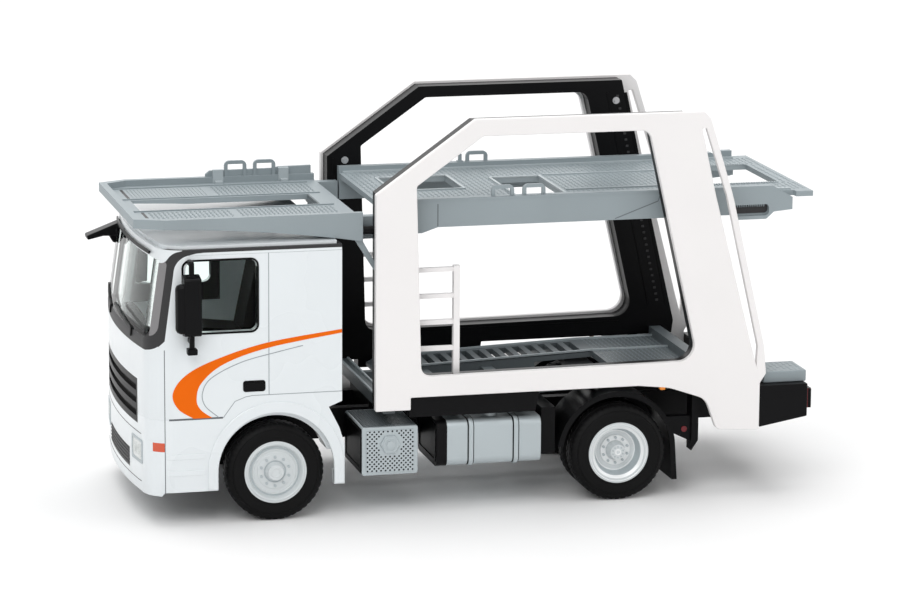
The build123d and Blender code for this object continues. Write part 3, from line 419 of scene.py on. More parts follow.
def chequer(areas, pitch, z, gaps=()):
    # Raised lozenges, turned each way by turns, over rectangles (x0, x1, y0, y1) and clear of the gaps.
    shapes = []
    for x0, x1, y0, y1 in areas:
        columns = int((x1 - x0) / pitch)
        rows = int((y1 - y0) / pitch)
        for i in range(columns):
            for j in range(rows):
                x = x0 + (i + 0.5) * (x1 - x0) / columns
                y = y0 + (j + 0.5) * (y1 - y0) / rows
                if any(a < x < b and c < y < d for a, b, c, d in gaps):
                    continue
                lean = math.pi / 4 if (i + j) % 2 else -math.pi / 4
                across = Vector((math.cos(lean), math.sin(lean))) * STUD_LONG
                thick = Vector((-math.sin(lean), math.cos(lean))) * STUD_WIDE
                loop = [(x + step.x, y + step.y) for step in (across, thick, -across, -thick)]
                shapes.append(slab(loop, upright, z - STUD_FOOT, z + STUD_RISE))
    return shapes


# The cab's skin: flat sides, round front corners and a bowed front that leans back above the belt
CORNER_X = 11.36
CORNER_R = 3.0
CORNER_Y = CAB_HALF - CORNER_R
BOW_R = 78.2
BOW_X = NOSE - BOW_R
CORNER_TURN = math.atan2(CORNER_Y, CORNER_X - BOW_X)
CORNER_RUN = CORNER_R * (math.pi / 2 - CORNER_TURN)


def screen_lean(z):
    return SCREEN_LEAN * max(z - BELT, 0.0) / (ROOF - BELT)


def cab_skin(turn):
    # u runs forward along the side, is 0 where the corner starts, and goes on across the bowed front.
    def point(u, z, out):
        if u <= 0.0:
            x, y = CORNER_X + u, CAB_HALF + out
        elif u <= CORNER_RUN:
            a = math.pi / 2 - u / CORNER_R
            x = CORNER_X + (CORNER_R + out) * math.cos(a)
            y = CORNER_Y + (CORNER_R + out) * math.sin(a)
        else:
            a = CORNER_TURN - (u - CORNER_RUN) / BOW_R
            x = BOW_X + (BOW_R + out) * math.cos(a)
            y = (BOW_R + out) * math.sin(a)
        return (x - screen_lean(z), turn * y, z)
    return point


def cab_front(y, z, out):
    x = BOW_X + math.sqrt(BOW_R ** 2 - y * y) - screen_lean(z)
    return (x + out, y, z)


def front_face(turn):
    def point(y, z, out):
        return cab_front(turn * y, z, out)
    return point


def cab_side(turn):
    def point(x, z, out):
        y = CAB_HALF
        if x > CORNER_X:
            y = CORNER_Y + math.sqrt(max(CORNER_R ** 2 - (x - CORNER_X) ** 2, 0.0))
        return (x, turn * (y + out), z)
    return point


# Cab side print: stripe, pinstripe and seams
CAB_END = -7.38
DOOR_FOOT = 12.15
CURVE_STEPS = 8
SWOOSH_OUT = [
    (9.2, DOOR_FOOT), (10.9, 13.3), (11.5, 15.0), (10.2, 16.9), (7.1, 18.5), (1.1, 20.25), (CAB_END, 21.4),
]
SWOOSH_IN = [
    (7.15, DOOR_FOOT), (8.4, 13.1), (8.86, 14.3), (8.3, 16.1), (5.8, 18.1), (0.8, 19.7), (CAB_END, 21.0),
]
PINSTRIPE = [
    (6.4, DOOR_FOOT), (7.9, 13.5), (8.2, 15.0), (7.2, 16.6), (3.9, 18.2), (-0.3, 19.2), (-3.0, 19.75),
]
PINSTRIPE_WIDE = 0.09
SEAMS = [
    # path of (x, z), width
    ([(12.35, 3.75), (12.35, 19.9)], 0.08),
    ([(5.95, 12.1), (11.3, 12.1), (11.6, 12.1), (11.9, 12.1)], 0.2),
]
FAINT_SEAMS = [
    # path of (x, z), width
    ([(0.8, 14.45), (0.8, 30.3)], 0.09),
    ([(CAB_END, 14.42), (2.6, 14.42), (3.4, 14.3), (4.6, 13.85), (5.9, 12.1)], 0.08),
    ([(CAB_END, 30.28), (9.6, 30.3)], 0.08),
]


def side_print(side, turn):
    at = cab_side(turn)
    outer = curve_through(SWOOSH_OUT, CURVE_STEPS)
    inner = curve_through(SWOOSH_IN, CURVE_STEPS)
    piece(side + "_swoosh", [strip(outer, inner, at, -SINK, PRINT)], "stripe_orange")
    path = curve_through(PINSTRIPE, CURVE_STEPS)
    piece(side + "_pinstripe", [line(path, PINSTRIPE_WIDE, at, -SINK, PRINT)], "line_pale")
    for name, look, seams in (("_seams", "line_grey", SEAMS), ("_faint_seams", "line_pale", FAINT_SEAMS)):
        piece(side + name, [line(path, width, at, -SINK, FINE) for path, width in seams], look)


# Cab side fittings: arch flare, step ledges, lens ends, handle and window seal
ARCH_FOOT = 4.0
ARCH_LEG = 4.8
ARCH_STEPS = 24
ARCH_IN = 6.5
ARCH_MORE = 0.36
FLARE_OUT = 7.65
FLARE_MORE = 0.45
FLARE_DEEP = 0.4
FLARE_RISE = 0.16
FLARE_EDGE = 0.09
LEDGES = (7.6, 5.75)
LEDGE_PLACES = (7.9, 9.0, 11.3, 11.8, 12.2)
LEDGE_HIGH = 0.6
LEDGE_RISE = 0.07
LEDGE_EDGE = 0.03
LENS_LOW = 8.42
LENS_TOP = 9.58
LENS_BACK_X = 12.2
LENS_BACK_WIDE = 0.34
LENS_FRONT_U = 2.5
LENS_STEP = 0.2
LENS_STEPS = 6
HANDLE_PLATE = (1.2, 3.7, 14.85, 16.1)
HANDLE_GRIP = (1.45, 3.45, 15.4, 15.85)
HANDLE_BENDS = (0.3, 0.15)
HANDLE_RISE = 0.05
GRIP_FOOT = 0.04
GRIP_RISE = 0.16
WINDOW = (2.1, 10.2, 21.7, 29.6)
SEAL = 0.22
SEAL_RISE = 0.05
SEAL_BENDS = (0.9, 0.7)


def arch_edge(reach, more):
    # A path up the rear of the front wheel arch, round and down its front.
    path = [(-reach, ARCH_FOOT), (-reach, ARCH_LEG)]
    for k in range(ARCH_STEPS + 1):
        a = math.pi * (1.0 - k / ARCH_STEPS)
        r = reach + more * math.sin(a)
        path.append((r * math.cos(a), TYRE_R + r * math.sin(a)))
    return path + [(reach, ARCH_LEG), (reach, ARCH_FOOT)]


def side_fittings(side, turn):
    at = cab_side(turn)
    arch = arch_edge(ARCH_IN, ARCH_MORE)
    flare = strip(arch, arch_edge(FLARE_OUT, FLARE_MORE), at, -FLARE_DEEP, FLARE_RISE)
    piece(side + "_arch_flare", [flare], "cab_white", smooth=True, edge=FLARE_EDGE)
    ledges = []
    for z in LEDGES:
        rows = [(x, z + LEDGE_HIGH, z) for x in LEDGE_PLACES]
        ledges.append(between(rows, at, -DEEP, LEDGE_RISE))
    piece(side + "_step_ledge", ledges, "cab_white", edge=LEDGE_EDGE)
    back_end = [(LENS_BACK_X, LENS_LOW), (LENS_BACK_X, LENS_TOP)]
    front_end = [(LENS_FRONT_U + k * LENS_STEP, LENS_TOP, LENS_LOW) for k in range(LENS_STEPS + 1)]
    lens_ends = [
        line(back_end, LENS_BACK_WIDE, at, -DEEP, FINE),
        between(front_end, cab_skin(turn), -DEEP, FINE),
    ]
    piece(side + "_indicator_edge", lens_ends, "cab_white")
    handle = [
        slab(rounded(*HANDLE_PLATE, HANDLE_BENDS[0]), at, -SINK, HANDLE_RISE),
        slab(rounded(*HANDLE_GRIP, HANDLE_BENDS[1]), at, GRIP_FOOT, GRIP_RISE),
    ]
    piece(side + "_handle", handle, "black_plastic")
    outer = rounded(*grown(WINDOW, SEAL), SEAL_BENDS[0])
    inner = rounded(*WINDOW, SEAL_BENDS[1])
    piece(side + "_window_seal", [ring(outer, inner, at, -DEEP, SEAL_RISE)], "black_plastic")


# Cab corner print: white corners on the dark surround, a roof line, and the dark edge of the windscreen
CAP_TOP = 30.9
CAP_STEPS = 5
CAP_RISE = 0.03
CORNER_CAP = [
    # u, lower z
    (0.45, 30.84), (1.2, 30.62), (1.75, 30.2), (2.1, 29.7), (2.5, 29.45), (3.1, 29.4),
]
TRIM_CORNER = [
    # u, upper z, lower z
    (1.7, 20.3, 20.22), (2.05, 20.1, 19.9), (2.4, 19.96, 19.62), (2.8, 19.84, 19.62), (3.5, 19.72, 19.62),
]
ROOF_LINE = [
    # x, upper z, lower z
    (CAB_END, 30.56, 30.28), (8.0, 30.56, 30.28), (8.8, 30.5, 30.28), (9.5, 30.34, 30.28),
]
SCREEN_EDGE = [
    # u, upper z, lower z
    (1.95, 29.2, 22.4), (2.05, 29.45, 22.0), (2.25, 29.6, 21.7), (2.5, 29.66, 21.5), (2.75, 29.68, 21.4),
    (3.04, 29.68, 21.35),
]


def corner_print(side, turn):
    skin = cab_skin(turn)
    cap = [(u, CAP_TOP, z) for u, z in curve_through(CORNER_CAP, CAP_STEPS)]
    white = [
        between(cap, skin, -SINK, CAP_RISE),
        between(TRIM_CORNER, skin, -SINK, PRINT),
        between(ROOF_LINE, cab_side(turn), -SINK, PRINT),
    ]
    piece(side + "_corner_cap", white, "cab_white")
    piece(side + "_screen_edge", [between(SCREEN_EDGE, skin, -SINK, PRINT)], "glass_edge")


for side, turn in SIDES:
    side_print(side, turn)
    side_fittings(side, turn)
    corner_print(side, turn)

# Cab front: visor bar, wipers, lamp frames with round reflectors, and bars and lines across the bumper
FRONT_STEPS = 8
VISOR_HALF = 10.6
VISOR_Z = 30.15
VISOR_WIDE = 0.3
VISOR_OUT = (0.12, 0.3)
VISOR_FEET = (-9.0, -3.0, 3.0, 9.0)
FOOT_HALF = 0.2
FOOT_HIGH = 0.12
FOOT_BEND = 0.08
FOOT_RISE = 0.14
WIPER_OUT = (0.02, 0.2)
WIPERS = [
    # path of (y, z) along the foot of the windscreen, width
    ([(7.4, 21.1), (5.0, 21.35), (1.5, 21.75), (-2.0, 22.0)], 0.3),
    ([(-5.2, 21.1), (-7.2, 21.4), (-9.6, 21.9), (-11.6, 22.3)], 0.3),
    ([(7.4, 20.3), (7.4, 21.2)], 0.45),
    ([(-5.2, 20.3), (-5.2, 21.2)], 0.45),
]
LAMP = (7.4, 11.2, 6.7, 9.2)
LAMP_Z = (LAMP[2] + LAMP[3]) / 2
LAMP_FRAME = 0.1
LAMP_GLASS = -0.2
LAMP_BENDS = (0.25, 0.2)
LAMP_RISE = 0.07
REFLECTORS = (8.35, 10.2)
REFLECTOR_RINGS = ((0.78, 0.66), (0.5, 0.4), (0.24, 0.1))
REFLECTOR_SIDES = 28
REFLECTOR_OUT = (-0.08, 0.04)
BUMPER_LINES = [
    # places in z, half length, width, rise
    ((5.55, 5.95, 6.35, 6.75, 7.15), 6.0, 0.16, 0.06),
    ((4.6, 9.95), 10.8, 0.08, 0.015),
]


def across_front(half, z, width, low, high):
    path = [(half * k / FRONT_STEPS, z) for k in range(-FRONT_STEPS, FRONT_STEPS + 1)]
    return line(path, width, cab_front, low, high)


visor = [across_front(VISOR_HALF, VISOR_Z, VISOR_WIDE, *VISOR_OUT)]
for y in VISOR_FEET:
    foot = rounded(y - FOOT_HALF, y + FOOT_HALF, VISOR_Z - FOOT_HIGH, VISOR_Z + FOOT_HIGH, FOOT_BEND)
    visor.append(slab(foot, cab_front, -DEEP, FOOT_RISE))
piece("visor_bar", visor, "black_plastic")
piece("wipers", [line(path, width, cab_front, *WIPER_OUT) for path, width in WIPERS], "black_plastic")
for side, turn in SIDES:
    face = front_face(turn)
    outer = rounded(*grown(LAMP, LAMP_FRAME), LAMP_BENDS[0])
    inner = rounded(*grown(LAMP, LAMP_GLASS), LAMP_BENDS[1])
    piece(side + "_lamp_frame", [ring(outer, inner, face, -DEEP, LAMP_RISE)], "pale_grey")
    rings = []
    for y in REFLECTORS:
        for far, near in REFLECTOR_RINGS:
            outer = circle(y, LAMP_Z, far, REFLECTOR_SIDES)
            inner = circle(y, LAMP_Z, near, REFLECTOR_SIDES)
            rings.append(ring(outer, inner, face, *REFLECTOR_OUT))
    piece(side + "_lamp_rings", rings, "lamp_clear")
bars = []
for places, half, width, rise in BUMPER_LINES:
    bars += [across_front(half, z, width, -DEEP, rise) for z in places]
piece("bumper_bars", bars, "trim_grey")

# Mirrors: rounded front covers on the cases and glass in their rear faces
MIRROR_BACK = 8.6
MIRROR_DEEP = 1.9
MIRROR_FRONT = MIRROR_BACK + MIRROR_DEEP
COVER = (15.0, 16.42, 22.0, 27.5)
COVER_LAYERS = [
    # forward of the case, inset, corner radius
    (-0.2, 0.0, 0.5),
    (0.35, 0.02, 0.5),
    (0.7, 0.15, 0.5),
    (0.85, 0.4, 0.3),
]
PANES = ((15.1, 16.3, 24.1, 28.0), (15.1, 16.3, 22.0, 23.8))
PANE_BEND = 0.25
for side, turn in SIDES:
    face = end_face(turn)
    layers = []
    for ahead, inset, bend in COVER_LAYERS:
        loop = rounded(*grown(COVER, -inset), bend)
        layers.append([face(y, z, MIRROR_FRONT + ahead) for y, z in loop])
    piece(side + "_mirror_cover", [lofted(layers)], "black_plastic", smooth=True)
    panes = [slab(rounded(*pane, PANE_BEND), face, MIRROR_BACK - FINE, MIRROR_BACK + SINK) for pane in PANES]
    piece(side + "_mirror_glass", panes, "mirror_glass")

# Over-cab deck: ribs and studs on the treads, ridges, black strips painted as the shade in grooves, guard
# rail, brackets and the plate in the hole
TREAD_Z = 33.35
TREAD_IN = 4.3
TREAD_OUT = 10.0
TREAD_FRONT = 12.5
RIB_PITCH = 0.42
RIB = 0.2
RIB_RISE = 0.05
RIB_BACK = 3.3
TREAD_PITCH = 0.5
TREAD_STUDS = [
    # x0, x1, y0, y1
    (RIB_BACK, TREAD_FRONT, TREAD_IN, TREAD_OUT),
    (-8.4, 2.6, TREAD_IN, TREAD_OUT),
    (-8.6, 2.8, -10.2, -4.1),
]
GROOVE_FROM = 0.3
GROOVE_TO = 0.62
RIDGE_PLACES = (3.65, 10.5)
RIDGE = 0.22
RIDGE_BACK = -8.8
RIDGE_FRONT = 14.0
RIDGE_RISE = 0.12
RAIL_SIDE = [(2.7, 33.9), (2.7, 34.35), (2.2, 34.75), (-5.4, 34.8), (-5.8, 34.95), (-9.7, 35.0), (-9.7, 33.9)]
RAIL_IN = 12.62
RAIL_OUT = 13.0
RAIL_EDGE = 0.06
STRAPS = ((0.65, 1.9), (-7.0, -5.8))
STRAP_Y = (-12.66, -12.2)
STRAP_TOP = 34.9
STRAP_FOOT_Y = (-12.3, -11.6)
STRAP_FOOT_IN = 0.2
STRAP_FOOT = 0.3
STRAP_EDGE = 0.05
HOLE_PLATE = [
    # x0, x1, y0, y1, z0, z1
    (-7.42, -7.26, -3.2, 3.2, 31.9, TREAD_Z - SINK),
    (-7.26, -7.2, -2.6, 2.6, 32.1, 32.9),
]
ribs = []
for k in range(int((TREAD_FRONT - RIB_BACK) / RIB_PITCH)):
    x = TREAD_FRONT - (k + 0.5) * RIB_PITCH
    ribs.append(block(x - RIB / 2, x + RIB / 2, -TREAD_OUT, -TREAD_IN, TREAD_Z - SINK, TREAD_Z + RIB_RISE))
for y in RIDGE_PLACES:
    ribs += block_pair(RIDGE_BACK, RIDGE_FRONT, y, y + RIDGE, TREAD_Z - SINK, TREAD_Z + RIDGE_RISE)
piece("deck_ribs", ribs, "deck_grey")
# Painted shade: a black strip across the front of each tread stands in for the shade in a groove
groove = (TREAD_FRONT + GROOVE_FROM, TREAD_FRONT + GROOVE_TO, TREAD_IN, TREAD_OUT)
piece("deck_groove_shade", block_pair(*groove, TREAD_Z - SINK, TREAD_Z + PRINT), "black_plastic")
piece("deck_studs", chequer(TREAD_STUDS, TREAD_PITCH, TREAD_Z), "deck_grey")
rail = slab(RAIL_SIDE, side_face(-1), RAIL_IN, RAIL_OUT)
piece("deck_guard_rail", [rail], "deck_grey", edge=RAIL_EDGE)
straps = []
for x0, x1 in STRAPS:
    straps.append(block(x0, x1, *STRAP_Y, TREAD_Z - PRINT, STRAP_TOP))
    plan = (x0 + STRAP_FOOT_IN, x1 - STRAP_FOOT_IN, *STRAP_FOOT_Y)
    straps.append(block(*plan, TREAD_Z - PRINT, TREAD_Z + STRAP_FOOT))
piece("deck_brackets", straps, "pale_grey", edge=STRAP_EDGE)
piece("deck_hole_plate", [block(*row) for row in HOLE_PLATE], "deck_dark")

# Upper deck: chequered floor, and ridges, rims round the openings and teeth on the arms in pale grey, which
# paints a highlight along the ridges
UPPER_Z = 34.3
UPPER_TOP = 35.0
UPPER_FRONT = -12.7
ARM_OPEN = -52.0
ARM_IN = 6.2
REAR_END = -62.4
REAR_BAR = 1.8
FLOOR_HALF = 10.4
FLOOR_GAP = 0.2
FLOOR_AREAS = [
    # x0, x1, y0, y1
    (ARM_OPEN + FLOOR_GAP, UPPER_FRONT - FLOOR_GAP, -FLOOR_HALF, FLOOR_HALF),
    (REAR_END + FLOOR_GAP, ARM_OPEN, ARM_IN, FLOOR_HALF),
    (REAR_END + FLOOR_GAP, ARM_OPEN, -FLOOR_HALF, -ARM_IN),
    (REAR_END + FLOOR_GAP, REAR_END + REAR_BAR, FLOOR_GAP - ARM_IN, ARM_IN - FLOOR_GAP),
]
OPENINGS = [
    # back x, front x, right y, left y
    (-24.0, -16.0, -5.9, 2.4),
    (-34.4, -28.8, -3.4, 8.4),
]
OPENING_CLEAR = 0.5
RIM = 0.28
RIM_RISE = 0.15
FLOOR_RIDGES = (-4.1, 5.6)
FLOOR_RIDGE_HALF = 0.14
FLOOR_RIDGE = (ARM_OPEN + 0.1, -35.2)
FLOOR_RIDGE_RISE = 0.16
EDGE_RIDGE = (REAR_END + 2.2, -13.0, 10.3, 10.66)
EDGE_RIDGE_RISE = 0.2
ARM_TEETH = 26
ARM_TOOTH_FRONT = -52.6
ARM_TOOTH_PITCH = 0.3
ARM_TOOTH_HALF = 0.09
ARM_TOOTH_Y = (5.95, 6.25)
ARM_TOOTH_RISE = 0.14
gaps = [grown(area, OPENING_CLEAR) for area in OPENINGS]
piece("upper_studs", chequer(FLOOR_AREAS, STUD_PITCH, UPPER_Z, gaps), "deck_grey")
foot = UPPER_Z - SINK
ridges = []
for y in FLOOR_RIDGES:
    low, high = y - FLOOR_RIDGE_HALF, y + FLOOR_RIDGE_HALF
    ridges.append(block(*FLOOR_RIDGE, low, high, foot, UPPER_Z + FLOOR_RIDGE_RISE))
for area in OPENINGS:
    ridges.append(ring(corners(*grown(area, RIM)), corners(*area), upright, foot, UPPER_Z + RIM_RISE))
ridges += block_pair(*EDGE_RIDGE, foot, UPPER_Z + EDGE_RIDGE_RISE)
for k in range(ARM_TEETH):
    x = ARM_TOOTH_FRONT - k * ARM_TOOTH_PITCH
    ridges += block_pair(x - ARM_TOOTH_HALF, x + ARM_TOOTH_HALF, *ARM_TOOTH_Y, foot, UPPER_Z + ARM_TOOTH_RISE)
# Painted highlight: the pale grey on the raised ridges stands in for the light along their tops
piece("upper_ridges_highlight", ridges, "pale_grey")

# Upper deck beams: seams, a lip along the top, teeth and a dark backing in the slot, and lugs
BEAM_SEAMS = [
    # path of (x, z), width
    ([(-18.8, 31.9), (-18.8, 34.4)], 0.12),
    ([(-39.2, 31.95), (-44.2, 33.75)], 0.1),
    ([(-44.2, 33.75), (-44.6, 34.9)], 0.08),
]
LIP = [(UPPER_FRONT, 34.85), (ARM_OPEN, 34.85)]
LIP_WIDE = 0.22
LIP_DEEP = 0.2
LIP_RISE = 0.06
SLOT = (-57.25, -53.3, 31.85, 32.85)
SLOT_BEND = 0.4
SLOT_DEEP = 0.6
SLOT_FACE = 0.44
SLOT_TEETH = 14
SLOT_TOOTH_FRONT = -53.4
SLOT_TOOTH_PITCH = 0.26
SLOT_TOOTH_DEEP = 0.55
SLOT_TOOTH = [(0.0, 32.95), (0.16, 32.95), (0.08, 32.6)]
UPPER_LUGS = [
    # x0, x1, y0, y1, z0, z1
    (-60.2, -58.9, -11.5, -10.7, UPPER_TOP - 1.6, UPPER_TOP + 0.2),
    (-60.5, -59.2, -11.5, -10.9, 32.2, 33.0),
    (-27.3, -26.9, -11.3, -10.95, UPPER_TOP - 0.1, 35.95),
    (-27.45, -26.75, -11.45, -10.8, UPPER_TOP - 0.1, UPPER_TOP + 0.15),
]
LUG_EDGE = 0.05
for side, turn in SIDES:
    face = side_face(turn)
    seams = [line(path, width, face, FRAME_IN - DEEP, FRAME_IN + FINE) for path, width in BEAM_SEAMS]
    piece(side + "_beam_seams", seams, "deck_dark")
    trim = [line(LIP, LIP_WIDE, face, FRAME_IN - LIP_DEEP, FRAME_IN + LIP_RISE)]
    for k in range(SLOT_TEETH):
        tooth = [(SLOT_TOOTH_FRONT - k * SLOT_TOOTH_PITCH + x, z) for x, z in SLOT_TOOTH]
        trim.append(slab(tooth, face, FRAME_IN - SLOT_TOOTH_DEEP, FRAME_IN - SINK))
    piece(side + "_beam_trim", trim, "deck_grey")
    backing = slab(rounded(*SLOT, SLOT_BEND), face, FRAME_IN - SLOT_DEEP, FRAME_IN - SLOT_FACE)
    piece(side + "_slot_backing", [backing], "trim_grey")
piece("upper_lugs", [block(*row) for row in UPPER_LUGS], "deck_grey", edge=LUG_EDGE)

# Lower deck: chequered rear plate, lips along the ramps and the front crossmember, studs on the step plates
PLATE_Z = 13.3
PLATE = (-50.4, -41.6, -10.2, 10.2)
RAMP_LINE = [(-17.0, 12.35), (-41.3, PLATE_Z), (-52.0, PLATE_Z)]
RAMP_LIPS = (4.0, 10.3)
RAMP_LIP = 0.28
RAMP_LIP_RISE = 0.2
CROSS_LIPS = [
    # x0, x1, y0, y1, z0, z1
    (-13.95, -13.7, -11.5, 11.5, 12.05, 12.3),
    (-12.9, -12.65, -11.5, 11.5, 12.05, 12.3),
]
STEP_Z = 13.9
STEPS = {"left": (-61.4, -56.7, 8.8, 13.3), "right": (-61.4, -56.7, -13.3, -8.8)}
piece("lower_studs", chequer([PLATE], STUD_PITCH, PLATE_Z), "deck_grey")
lips = []
for side, turn in SIDES:
    for y in RAMP_LIPS:
        rows = [(x, z + RAMP_LIP_RISE, z - DEEP) for x, z in RAMP_LINE]
        lips.append(between(rows, side_face(turn), y, y + RAMP_LIP))
piece("ramp_lips", lips, "pale_grey")
piece("crossmember_lips", [block(*row) for row in CROSS_LIPS], "pale_grey")
for side, area in STEPS.items():
    piece(side + "_step_studs", chequer([area], STUD_PITCH, STEP_Z), "deck_grey")

# Inner frames: ribs and a row of notches up each rear post, ribs along sill and front post, and pegs
POST_FOOT = Vector((-51.6, 17.0))
POST_HEAD = Vector((-46.2, 42.4))
NOTCHES = 34
NOTCH_HALF = 0.16
NOTCH_HIGH = 0.13
NOTCH_RISE = 0.07
NOTCH_BEND = 0.05
NOTCH_BEND_STEPS = 2
RIB_SET = Vector((1.1, 0.0))
FRAME_RIBS = [
    # path of (x, z), width, how far it stands in from the frame
    ([POST_FOOT - RIB_SET, POST_HEAD - RIB_SET], 0.25, 0.09),
    ([POST_FOOT + RIB_SET, POST_HEAD + RIB_SET], 0.25, 0.09),
    ([(-17.5, 15.0), (-46.8, 15.0)], 0.2, 0.08),
    ([(-12.1, 14.5), (-12.1, 35.8)], 0.25, 0.08),
]
PEGS = [(-13.5, 35.6), (-46.1, 41.5), (-13.5, 33.2)]
PEG_R = 0.42
PEG_RISE = 0.12
PEG_SIDES = 20
PEG_TIP_R = 0.24
PEG_TIP_RISE = 0.3
PEG_TIP_SIDES = 16
for side, turn in SIDES:
    face = side_face(turn)
    notches = []
    for k in range(NOTCHES):
        x, z = POST_FOOT.lerp(POST_HEAD, (k + 0.5) / NOTCHES)
        area = (x - NOTCH_HALF, x + NOTCH_HALF, z - NOTCH_HIGH, z + NOTCH_HIGH)
        loop = rounded(*area, NOTCH_BEND, NOTCH_BEND_STEPS)
        notches.append(slab(loop, face, FRAME_IN - NOTCH_RISE, FRAME_IN + DEEP))
    piece(side + "_post_notches", notches, "trim_grey")
    ribs = [line(path, width, face, FRAME_IN - rise, FRAME_IN + DEEP) for path, width, rise in FRAME_RIBS]
    piece(side + "_frame_ribs", ribs, "black_plastic")
    pegs = []
    for x, z in PEGS:
        peg = circle(x, z, PEG_R, PEG_SIDES)
        tip = circle(x, z, PEG_TIP_R, PEG_TIP_SIDES)
        pegs.append(slab(peg, face, FRAME_IN - PEG_RISE, FRAME_IN + DEEP))
        pegs.append(slab(tip, face, FRAME_IN - PEG_TIP_RISE, FRAME_IN - DEEP))
    piece(side + "_frame_pegs", pegs, "steel", smooth=True)

# Silencer box: pierced covers over dark backings, left solid round the boss, a framed front end and a cap;
# the dark top cover and its black backing are painted shade
BOX_OUT = 13.5
BOX_TOP = 9.9
BOX_FRONT = -9.8
CELL = 0.25
CELL_SIDES = 8
HOLE_R = 0.115
SIDE_COVER = (-15.7, -10.3, 4.8, 9.5)
TOP_COVER = (-15.9, -10.1, 5.4, 13.2)
COVER_RISE = 0.09
BACKING_BEND = 0.1
TOP_COVER_RISE = 0.07
TOP_BACKING_RISE = 0.01
TOP_BACKING = (-15.95, -10.05, 5.3, 13.25)
END_PLATE = (5.1, 13.4, 4.6, 9.7)
END_FRAME = (5.3, 13.2, 4.8, 9.5)
END_FRAME_WIDE = 0.4
END_BEND = 0.2
END_PLATE_RISE = 0.03
END_FRAME_RISE = 0.1
BOSS = (-13.0, 7.9)
BOSS_CLEAR = 1.4
BOSS_TOP = BOX_OUT + 0.3
BOSS_RING = (0.85, 0.7)
BOSS_RING_RISE = 0.12
BOSS_RING_SIDES = 32
BOSS_STUD = 0.45
BOSS_STUD_RISE = 0.15
BOSS_STUD_SIDES = 24


def pierced(area, point, low, high, solid):
    # A plate of square cells, with a hole in each second cell unless solid(u, v) says that it has none.
    u0, u1, v0, v1 = area
    columns = int((u1 - u0) / CELL)
    rows = int((v1 - v0) / CELL)
    du = (u1 - u0) / columns
    dv = (v1 - v0) / rows
    shapes = []
    for i in range(columns):
        for j in range(rows):
            u = u0 + (i + 0.5) * du
            v = v0 + (j + 0.5) * dv
            cell = []
            for k in range(CELL_SIDES):
                a = 2 * math.pi * k / CELL_SIDES
                far = max(abs(math.cos(a)), abs(math.sin(a)))
                cell.append((u + du / 2 * math.cos(a) / far, v + dv / 2 * math.sin(a) / far))
            if (i + j) % 2 or solid(u, v):
                shapes.append(slab(cell, point, low, high))
            else:
                shapes.append(ring(cell, circle(u, v, HOLE_R, CELL_SIDES), point, low, high))
    return shapes


def near_boss(x, z):
    return math.hypot(x - BOSS[0], z - BOSS[1]) < BOSS_CLEAR


def nowhere(x, y):
    return False


face = side_face(1)
end = end_face(1)
cover = pierced(SIDE_COVER, face, BOX_OUT + FINE, BOX_OUT + COVER_RISE, near_boss)
piece("silencer_cover", cover, "silver")
backing = [
    slab(rounded(*SIDE_COVER, BACKING_BEND), face, BOX_OUT - SINK, BOX_OUT + FINE),
    # The black top backing is part of the painted shade on the box's top face
    block(*TOP_BACKING, BOX_TOP - SINK, BOX_TOP + TOP_BACKING_RISE),
]
piece("silencer_backing", backing, "black_plastic")
outer = rounded(*END_FRAME, END_BEND)
inner = rounded(*grown(END_FRAME, -END_FRAME_WIDE), END_BEND)
front_end = [
    slab(rounded(*END_PLATE, END_BEND), end, BOX_FRONT - SINK, BOX_FRONT + END_PLATE_RISE),
    ring(outer, inner, end, BOX_FRONT, BOX_FRONT + END_FRAME_RISE),
]
piece("silencer_end", front_end, "black_plastic")
# Painted shade: the top cover is dark grey for the shadow that the frame above casts on the box's top
cover = pierced(TOP_COVER, upright, BOX_TOP + TOP_BACKING_RISE, BOX_TOP + TOP_COVER_RISE, nowhere)
piece("silencer_top_shade", cover, "deck_dark")
outer, inner = [circle(*BOSS, r, BOSS_RING_SIDES) for r in BOSS_RING]
boss_cap = [
    ring(outer, inner, face, BOSS_TOP, BOSS_TOP + BOSS_RING_RISE),
    slab(circle(*BOSS, BOSS_STUD, BOSS_STUD_SIDES), face, BOSS_TOP, BOSS_TOP + BOSS_STUD_RISE),
]
piece("silencer_boss", boss_cap, "silver")

# Tanks: front ends painted black as the shade on their forward faces, with a painted shade band round each
# front, and black lines beside the straps
TANK_OUT = 13.8
TANK_FRONT = -18.3
TANK_LOW = 5.0
TANK_TOP = 10.2
SHADE_BAND = 1.15
SHADE_BAND_RISE = 0.03
END_RIM_RISE = 0.12
TANK_STRAPS = (-22.2, -27.4)
STRAP_LINES = [
    # place beside the strap, half width
    (0.32, 0.07),
    (-0.32, 0.03),
]

# Outlines round the tank: inner edge, how far outside the tank, corner radius
SHADE_BAND_LOOPS = ((5.0, 0.03, 0.9), (5.2, -0.3, 0.7))
END_LOOP = (5.1, -0.2, 0.8)
END_RIM_LOOPS = ((5.4, -0.4, 0.6), (5.8, -0.8, 0.4))
LINE_LOOPS = ((6.0, 0.04, 0.9), (6.1, -0.1, 0.8))


def tank_loop(inner, more, bend):
    return rounded(inner, TANK_OUT + more, TANK_LOW - more, TANK_TOP + more, bend)


